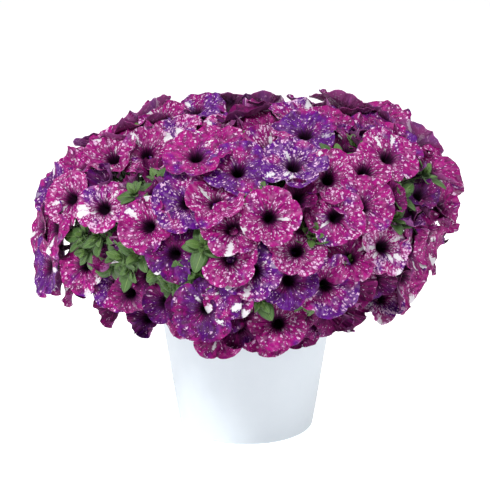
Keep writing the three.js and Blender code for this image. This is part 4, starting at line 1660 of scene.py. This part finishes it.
@dataclass
class LeafyStems:
    """The stems with their twigs, flower stalks, calyces, leaves and shoot tips."""

    dome: Dome
    sites: list[Site]
    stems: int = 12
    stem_root: float = 52.0
    stem_radius: float = 2.6
    root_height: float = 177.0
    fork: float = 0.34
    fork_below: float = 4.0
    twigs: int = 36
    twigs_above: float = 8.0
    twigs_top: float = 0.97
    twig_radius: float = 2.3
    twig_reach: float = 0.72
    thinned: float = 0.8
    sag: float = 4.0
    stalk_foot: float = 7.0
    stalk_radii: tuple[float, ...] = (0.9, 0.9, 0.95, 1.0, 1.4, 2.9, 3.1)
    stalk_seed: int = 90001
    sepals: int = 5
    sepal: Blade = Blade(11.0, 15.0, 0.13)
    stalk_leaves: int = 4
    stalk_leaf: Blade = Blade(28.0, 40.0, 0.27)
    whorls: tuple[Whorl, ...] = (
        Whorl(5, Blade(23.0, 34.0, 0.33), 46.0, 78.0, 0.0),
        Whorl(4, Blade(14.0, 23.0, 0.30), 24.0, 58.0, 4.0),
        Whorl(5, Blade(8.0, 13.0, 0.24), 6.0, 32.0, 6.0),
    )
    tip_below: float = 9.0
    whorl_below: float = 3.0
    twig_leaves: int = 7
    twig_leaf: Blade = Blade(30.0, 42.0, 0.29)
    leaf_seed: tuple[int, int] = (104729, 31)
    blade_thickness: float = 0.5
    blade_rows: tuple[float, ...] = (0.05, 0.18, 0.34, 0.5, 0.66, 0.82, 0.94)

    def rod(self, skin: Surface, points: Array, radii: Array, sides: int, shade: float) -> None:
        """Adds a round stem along points.

        Args:
            skin: The skin to add to.
            points: The middle line's points.
            radii: The radius at each.
            sides: Places round it.
            shade: How light its green is.
        """
        along = unit(np.gradient(points, axis=0))
        out = fan(square(along[len(along) // 2]), turns(sides))
        rows = points[:, None] + radii[:, None, None] * out
        blade = np.zeros((*rows.shape[:2], 3))
        blade[..., 2] = 1.0
        skin.skin(rows, points[0], points[-1], blade=blade, shade=np.full((*rows.shape[:2], 1), shade))

    def curve(self, start: Array, middle: Array, end: Array, count: int) -> Array:
        """Points on the parabola from start to end that leans towards middle."""
        s = np.linspace(0, 1, count)[:, None]
        return (1 - s) ** 2 * start + 2 * (1 - s) * s * middle + s**2 * end

    def leaf(
        self,
        skin: Surface,
        base: Array,
        along: Array,
        up: Array,
        length: float,
        width: float,
        draw: Draws,
        shade: float,
    ) -> None:
        """Adds an ovate leaf: a thin blade folded along its midrib that droops to its tip.

        Its half width is the width times a power of a sine of the share along it, its fold rises with the
        distance from the midrib, its edges wave, and it droops with the square of the share.

        Args:
            skin: The skin to add to.
            base: Where its stalk joins.
            along: The direction that it grows in.
            up: Its upper side.
            length: Its length.
            width: Its half width as a share of its length.
            draw: Its draws.
            shade: How light its green is.
        """
        side = unit(np.cross(up, along))
        face = np.cross(along, side)
        u = np.array(self.blade_rows)[:, None]
        v = np.array([1.0, 0.5, 0.0, -0.5, -1.0, -0.5, 0.0, 0.5])
        top = np.array([0.0, 1.0, 1.0, 1.0, 0.0, -1.0, -1.0, -1.0])
        half = length * width * np.sin(math.pi * u**0.9) ** 0.66
        fold = draw.between(0.10, 0.42)
        droop = draw.between(0.05, 0.30)
        wave = draw.between(0.2, 1.0) * length / 30
        swing = math.tau * draw()
        lift = fold * np.abs(v) * half - droop * length * u**2 + wave * np.abs(v) * np.sin(9 * u + swing + v)
        lift = lift + top * self.blade_thickness / 2
        rows = base + (length * u)[..., None] * along + (half * v)[..., None] * side + lift[..., None] * face
        tip = base + length * along - droop * length * face
        none = np.zeros(lift.shape)
        blade = np.stack([v + none, u + none, none], -1)
        skin.skin(rows, base, tip, blade=blade, shade=np.full((*lift.shape, 1), shade))

    def twig_places(self) -> list[tuple[Array, int]]:
        """The twigs' ends, spread under the dome, with the stem of each, as in the CAD source.

        Returns:
            Each twig's end, and its stem's number.
        """
        low = math.sin(math.radians(self.dome.lowest + self.twigs_above))
        found = []
        for k in range(self.twigs):
            height = math.asin(low + (self.twigs_top - low) * ((k + 0.5) / self.twigs))
            out = self.dome.at(direction(k * GOLDEN, height), self.dome.layer)
            at = (out - self.dome.heart) * self.twig_reach + self.dome.heart
            bearing = math.atan2(at[0], -at[1]) % math.tau
            found.append((at, int(bearing / math.tau * self.stems)))
        return found

    def stalk(self, skin: Surface, site: Site, start: Array) -> None:
        """Adds a flower stalk, the calyx with its sepals, and the leaves that the stalk carries.

        Args:
            skin: The skin to add to.
            site: The bloom's place.
            start: Where the stalk leaves its twig.
        """
        draw = Draws.warmed(self.stalk_seed * (site.index + 5))
        out = unit(site.seat - self.dome.heart)
        foot = site.seat - out * self.stalk_foot
        middle = (start + foot) / 2 - np.array([0.0, 0.0, self.sag])
        neck = [site.seat - out * 3, site.seat + out * 1.5]
        line = np.concatenate([self.curve(start, middle, foot, 5), neck])
        self.rod(skin, line, np.array(self.stalk_radii), 6, 0.5)
        pair = square(out)
        sepal, blade = self.sepal, self.stalk_leaf
        for k in range(self.sepals):
            away = fan(pair, math.tau * k / self.sepals + site.turn)
            along = unit(out + away * draw.between(0.35, 0.9))
            base = site.seat - out * 2 + away * 2.2
            length = draw.between(sepal.short, sepal.long)
            self.leaf(skin, base, along, unit(out - away), length, sepal.width, draw, 0.55)
        for _ in range(self.stalk_leaves):
            base = start + (site.seat - start) * draw.between(0.45, 0.98)
            away = fan(pair, draw() * math.tau)
            along = unit(out * draw.between(0.1, 0.55) + away)
            length, shade = draw.between(blade.short, blade.long), draw.between(0.0, 0.5)
            self.leaf(skin, base, along, unit(out - along * 0.4), length, blade.width, draw, shade)

    def tip(self, skin: Surface, site: Site, start: Array) -> None:
        """Adds a leafy shoot tip: its stalk, and whorls of leaves that open less towards the middle.

        Args:
            skin: The skin to add to.
            site: The tip's place.
            start: Where its stalk leaves its twig.
        """
        end = site.limb - site.normal * self.tip_below
        self.rod(skin, self.curve(start, site.seat, end, 7), np.linspace(1.2, 1.1, 7), 6, 0.6)
        pair = square(site.normal)
        draw = site.draws
        for ring, whorl in enumerate(self.whorls):
            for k in range(whorl.count):
                length = draw.between(whorl.blade.short, whorl.blade.long)
                opened = math.radians(draw.between(whorl.closed, whorl.wide))
                away = fan(pair, math.tau * (k + 0.5 * ring) / whorl.count + site.turn)
                along = site.normal * math.cos(opened) + away * math.sin(opened)
                up = site.normal * math.sin(opened) - away * math.cos(opened)
                base = end + site.normal * (whorl.lift - self.whorl_below) + away * 1.2
                shade = 0.55 + 0.2 * ring + 0.12 * draw()
                self.leaf(skin, base, along, up, length, whorl.blade.width, draw, shade)

    def build(self, finish: LeafFinish) -> None:
        """Makes a piece for each stem, which replaces its CAD node.

        Args:
            finish: The leaves' finish.
        """
        material = finish.material()
        twigs = self.twig_places()
        ends = np.array([at for at, _ in twigs])
        borne: dict[int, list[Site]] = {}
        for site in self.sites:
            borne.setdefault(int(np.linalg.norm(ends - site.seat, axis=1).argmin()), []).append(site)
        for number in range(self.stems):
            skin = Surface()
            own = {k: at for k, (at, stem) in enumerate(twigs) if stem == number}
            self.stem(skin, number, own, borne)
            name = f"leafy_stem_{number + 1:02d}"
            skin.piece(f"{name}_foliage", material, "foliage", name)

    def stem(self, skin: Surface, number: int, own: dict[int, Array], borne: dict[int, list[Site]]) -> None:
        """Adds a stem with all that it bears.

        Args:
            skin: The skin to add to.
            number: The stem's number.
            own: Its twigs' ends, by the twigs' numbers.
            borne: The places that each twig serves.
        """
        bearing = (number + 0.5) * math.tau / self.stems

        def across(radius: float, height: float) -> Array:
            """A point at the stem's bearing."""
            return np.array([radius * math.sin(bearing), -radius * math.cos(bearing), height])

        fork = across(self.dome.across * self.fork, self.dome.middle - self.fork_below)
        root = across(self.stem_root, self.root_height)
        knee = across(self.stem_root, (root[2] + fork[2]) / 2)
        line = np.concatenate([np.linspace(root, knee, 4), self.curve(knee, (knee + fork) / 2, fork, 4)[1:]])
        self.rod(skin, line, self.stem_radius * np.linspace(1, self.thinned, len(line)), 8, 0.3)
        for i, (k, at) in enumerate(own.items()):
            start = knee + (fork - knee) * (0.5 + 0.45 * (i + 0.5) / len(own))
            bend = start + (at - start) * 0.45 - np.array([0.0, 0.0, self.sag])
            line = np.concatenate([np.linspace(start, bend, 4), np.linspace(bend, at, 4)[1:]])
            self.rod(skin, line, self.twig_radius * np.linspace(1, self.thinned, len(line)), 7, 0.35)
            mine = borne.get(k, [])
            for j, site in enumerate(mine):
                grow = self.stalk if site.kind is Kind.BLOOM else self.tip
                grow(skin, site, bend + (at - bend) * (0.3 + 0.69 * (j + 0.5) / len(mine)))
            self.leaves_of(skin, k, bend, at)

    def leaves_of(self, skin: Surface, number: int, bend: Array, at: Array) -> None:
        """Adds the larger leaves along a twig.

        Args:
            skin: The skin to add to.
            number: The twig's number.
            bend: Where the twig bends.
            at: Its end.
        """
        seed, apart = self.leaf_seed
        draw = Draws.warmed(seed + number * apart)
        normal = self.dome.outward(at)
        pair = square(normal)
        turn = math.tau * draw()
        for k in range(self.twig_leaves):
            away = fan(pair, turn + GOLDEN * k)
            along = unit(normal * draw.between(0.2, 0.7) + away)
            up = unit(normal - along * (normal @ along))
            base = bend + (at - bend) * (0.25 + 0.75 * k / (self.twig_leaves - 1))
            length, shade = draw.between(self.twig_leaf.short, self.twig_leaf.long), draw.between(0.0, 0.4)
            self.leaf(skin, base, along, up, length, self.twig_leaf.width, draw, shade)


# ---------------------------------------------------------------- the pot and its soil
@dataclass
class Pot:
    """The tapered pot: a thin shell turned from a rounded profile, with drain holes through its floor."""

    base_radius: float = 93.0
    rim_radius: float = 124.0
    height: float = 200.0
    wall: float = 3.0
    floor: float = 4.0
    base_shares: tuple[float, ...] = (0.3, 0.6, 0.85)
    floor_shares: tuple[float, ...] = (0.8, 0.6, 0.3)
    lip_proud: float = 3.5
    lip_height: float = 11.0
    lip_round: tuple[float, float, float] = (0.6, 1.2, 2.0)
    edge_round: float = 5.0
    edge_flare: float = 0.75
    edge_steps: int = 6
    above_edge: float = 6.0
    inner_round: float = 4.0
    wall_rows: tuple[int, int] = (14, 10)
    places: int = 128
    drain_radius: float = 6.0
    drain_circle: float = 58.0
    drains: int = 5
    drain_places: int = 24
    drain_reach: tuple[float, float] = (-8.0, 12.0)

    def wall_at(self, height: float) -> float:
        """The wall's outer radius at a height."""
        return self.base_radius + (self.rim_radius - self.base_radius) * height / self.height

    def outside(self) -> list[tuple[float, float]]:
        """The half section from the middle of the base, round its edge and up the wall to the lip's top.

        Returns:
            Radii and heights.
        """
        points = [(self.base_radius * share, 0.0) for share in self.base_shares]
        corner = self.edge_round
        foot = self.base_radius - corner
        for k in range(self.edge_steps + 1):
            a = k / self.edge_steps * math.pi / 2
            flare = self.edge_flare * k / self.edge_steps
            points.append((foot + corner * math.sin(a) + flare, corner * (1 - math.cos(a))))
        under = self.height - self.lip_height
        climb = np.linspace(corner + self.above_edge, under, self.wall_rows[0])
        points += [(self.wall_at(h), h) for h in climb]
        small, half, full = self.lip_round
        lip = self.wall_at(self.height) + self.lip_proud
        top = self.height
        points += [(lip - half, under + small), (lip, under + full)]
        return points + [(lip, top - full), (lip - small, top - small), (lip - full, top)]

    def inside(self) -> list[tuple[float, float]]:
        """The half section from the lip's inner edge down the wall and over the floor.

        Returns:
            Radii and heights.
        """
        half = self.lip_round[1]
        inner = self.wall_at(self.height) - self.wall
        points = [(inner + half, self.height), (inner, self.height - half)]
        low, high = self.floor + self.inner_round, self.height - 2 * self.inner_round
        descent = np.linspace(high, low, self.wall_rows[1])
        points += [(self.wall_at(h) - self.wall, h) for h in descent]
        foot = self.wall_at(self.floor) - self.wall
        points += [(foot - 1.0, self.floor + 1.0), (foot - self.inner_round, self.floor)]
        return points + [(foot * share, self.floor) for share in self.floor_shares]

    def build(self, finish: PotFinish) -> None:
        """Makes the pot, which replaces its CAD node.

        Args:
            finish: The pot's finish.
        """
        angle = turns(self.places)
        section = np.array(self.outside() + self.inside())
        flat = section[:, None, :1] * np.stack([np.cos(angle), np.sin(angle)], -1)
        heights = np.broadcast_to(section[:, None, 1:], (len(section), len(angle), 1))
        skin = Surface()
        skin.skin(np.concatenate([flat, heights], -1), np.zeros(3), np.array([0.0, 0.0, self.floor]))
        self.drill(skin.piece("pot_shell", finish.material(), "pot", "pot"))

    def drill(self, pot: bpy.types.Object) -> None:
        """Cuts the drain holes through the floor, with flat sides.

        Args:
            pot: The pot's object.
        """
        cutter = Surface()
        angle = turns(self.drain_places)
        low, high = self.drain_reach
        circle = self.drain_radius * np.stack([np.cos(angle), np.sin(angle), np.zeros(len(angle))], -1)
        for a in (math.tau * k / self.drains for k in range(self.drains)):
            middle = np.array([self.drain_circle * math.sin(a), self.drain_circle * math.cos(a), 0.0])
            rows = np.stack([circle + middle + [0, 0, z] for z in (low, high)])
            cutter.skin(rows, middle + [0, 0, low], middle + [0, 0, high])
        mesh = cutter.mesh("drain_cutter")
        mesh.shade_flat()
        tool = linked("drain_cutter", mesh)
        cut = pot.modifiers.new("drains", "BOOLEAN")
        cut.operation = "DIFFERENCE"
        cut.object = tool
        bpy.context.view_layer.update()
        ready = pot.evaluated_get(bpy.context.evaluated_depsgraph_get())
        drilled = bpy.data.meshes.new_from_object(ready)
        pot.modifiers.clear()
        pot.data = drilled
        bpy.data.objects.remove(tool)


@dataclass
class Soil:
    """The potting soil: a low mound with a crumbly top, down to the pot's floor."""

    pot: Pot
    top: float = 186.0
    mound: float = 5.0
    gap: float = 0.4
    edge: float = 2.0
    crumb: float = 0.55
    shares: tuple[float, float] = (0.985, 0.04)
    rings: int = 26
    places: int = 96

    def build(self, finish: SoilFinish) -> None:
        """Makes the soil, which replaces its CAD node. Crumbs are short waves of several lengths.

        Args:
            finish: The soil's finish.
        """
        angle = turns(self.places)
        low = self.pot.floor + self.gap
        foot, brim = (self.pot.wall_at(h) - self.pot.wall - self.gap for h in (low, self.top))
        side = [(foot * 0.5, low), (foot, low), (brim, self.top - self.edge)]
        over = [(brim * s, self.top + self.mound * (1 - s**2)) for s in np.linspace(*self.shares, self.rings)]
        radius, height = (np.array(part)[:, None] * np.ones(self.places) for part in zip(*side, *over))
        x, y = radius * np.cos(angle), radius * np.sin(angle)
        coarse = np.sin(0.31 * x + 1.7) * np.cos(0.27 * y)
        medium = 0.7 * np.sin(0.9 * x - 0.8 * y)
        fine = 0.5 * np.cos(1.9 * x + 1.3 * y + 2) * np.sin(1.6 * y)
        height[len(side) :] += self.crumb * (coarse + medium + fine)[len(side) :]
        skin = Surface()
        rows = np.stack([x, y, height], -1)
        skin.skin(rows, np.array([0.0, 0.0, low]), np.array([0.0, 0.0, self.top + self.mound]))
        skin.piece("soil_mound", finish.material(), "soil", "soil")


# ---------------------------------------------------------------- studio
@dataclass(frozen=True)
class Lamp:
    """A large square light: its name, its place, its side in metres and its power in watts."""

    name: str
    place: tuple[float, float, float]
    size: float
    power: float

    def hang(self, target: tuple[float, float, float]) -> None:
        """Adds the light to the scene, pointed at a target.

        Args:
            target: The point, in metres.
        """
        data = bpy.data.lights.new(self.name, "AREA")
        data.size = self.size
        data.energy = self.power
        lamp = linked(self.name, data)
        lamp.location = self.place
        x, y, z = np.array(target) - np.array(self.place)
        lamp.rotation_euler = (math.atan2(math.hypot(x, y), -z), 0.0, math.atan2(y, x) - math.pi / 2)


@dataclass
class Studio:
    """A pale floor, large soft lights and the camera at the photograph's angle. Sizes are in metres."""

    across: float = -0.002
    distance: float = 2.47
    eye_height: float = 0.93
    pitch: float = 74.8
    focal: float = 136.3
    sensor: float = 36.0
    lit: tuple[float, float, float] = (0.0, 0.0, 0.25)
    lamps: tuple[Lamp, ...] = (
        Lamp("key_front", (-0.9, -2.1, 2.5), 0.7, 86.0),
        Lamp("side_left", (-2.4, -0.6, 1.1), 1.2, 21.0),
        Lamp("side_right", (2.4, -0.6, 1.1), 1.2, 20.0),
        Lamp("over", (0.3, 0.6, 2.8), 1.2, 34.0),
    )
    daylight: tuple[Colour, float] = ((0.96, 0.98, 1.0), 0.22)
    backdrop: tuple[Colour, float] = ((1.0, 1.0, 1.0), 1.0)
    floor_half: float = 12.0

    def camera(self) -> None:
        """Sets the camera up."""
        data = bpy.data.cameras.new("camera")
        data.lens = self.focal
        data.sensor_width = self.sensor
        camera = linked("camera", data)
        camera.location = (self.across, -self.distance, self.eye_height)
        camera.rotation_euler = (math.radians(self.pitch), 0.0, 0.0)
        bpy.context.scene.camera = camera

    def world(self) -> None:
        """Sets a white backdrop that lights the plant more softly than it looks."""
        world = bpy.data.worlds.new("studio")
        bpy.context.scene.world = world
        world.use_nodes = True
        w = Wiring(world.node_tree)
        both = w.node("ShaderNodeMixShader")
        w.put(both.inputs[0], w.node("ShaderNodeLightPath").outputs["Is Camera Ray"])
        for socket, (colour, strength) in zip(both.inputs[1:], (self.daylight, self.backdrop)):
            light = w.node("ShaderNodeBackground")
            w.put(light.inputs["Color"], (*colour, 1.0))
            w.put(light.inputs["Strength"], strength)
            w.put(socket, light.outputs[0])
        w.put(w.node("ShaderNodeOutputWorld").inputs["Surface"], both.outputs[0])

    def build(self, finish: FloorFinish) -> None:
        """Makes the floor, the lights and the backdrop.

        Args:
            finish: The floor's finish.
        """
        mesh = bpy.data.meshes.new("studio_floor")
        half = self.floor_half
        square_corners = [(-half, -half, 0.0), (half, -half, 0.0), (half, half, 0.0), (-half, half, 0.0)]
        mesh.from_pydata(square_corners, [], [(0, 1, 2, 3)])
        mesh.materials.append(finish.material())
        floor = linked("studio_floor", mesh)
        floor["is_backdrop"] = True
        for lamp in self.lamps:
            lamp.hang(self.lit)
        self.world()
        bpy.context.scene.view_settings.view_transform = "Standard"


# ---------------------------------------------------------------- building the scene
def match_blooms(
    sites: list[Site], nodes: dict[str, bpy.types.Object], reader: PackedBlooms
) -> dict[str, list[Site]]:
    """Finds which place each packed bloom is, and moves the place to it.

    Args:
        sites: The places of the rule.
        nodes: The CAD nodes by name.
        reader: The reader of packed bunches.

    Returns:
        The places of each bunch by the bunch's name.
    """
    blooms = [s for s in sites if s.kind is Kind.BLOOM]
    seats = np.array([s.seat for s in blooms])
    held: dict[str, list[Site]] = {}
    for name in sorted(n for n in nodes if n.startswith("bloom_bunch")):
        held[name] = []
        for foot, neck in reader.read(nodes[name]):
            gaps = np.linalg.norm(seats - foot, axis=1)
            site = blooms[int(gaps.argmin())]
            if gaps.min() > reader.match_off:
                LOG.warning("%s: a foot is %.2f mm from its place", name, gaps.min())
            if neck is not None:
                reader.place(site, neck)
            held[name].append(site)
    return held


def corners(box: tuple[Array, Array]) -> list[list[float]]:
    """A box's two corners as plain lists."""
    return [[float(v) for v in corner] for corner in box]


def main() -> None:
    """Builds the studio, the blooms, the leafy stems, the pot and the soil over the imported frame."""
    logging.basicConfig(level=logging.INFO, format="%(name)s: %(message)s")
    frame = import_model()
    cad_box = corners(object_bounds())
    studio = Studio()
    studio.camera()
    studio.build(FloorFinish())
    dome = Dome()
    sites = Planting(dome).sites()
    held = match_blooms(sites, frame["nodes"], PackedBlooms(dome))
    kept = {id(site) for bunch in held.values() for site in bunch}
    sites = [s for s in sites if s.kind is Kind.TIP or id(s) in kept]
    LOG.info("%d blooms and %d shoot tips", len(kept), len(sites) - len(kept))
    Fillers(dome).fill(sites, held)
    BloomBunches(dome, sites).build(held, PetalFinish())
    LeafyStems(dome, sites).build(LeafFinish())
    pot = Pot()
    pot.build(PotFinish())
    Soil(pot).build(SoilFinish())
    {"cad": cad_box, "visual": corners(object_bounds())}


if __name__ == "__main__":
    main()
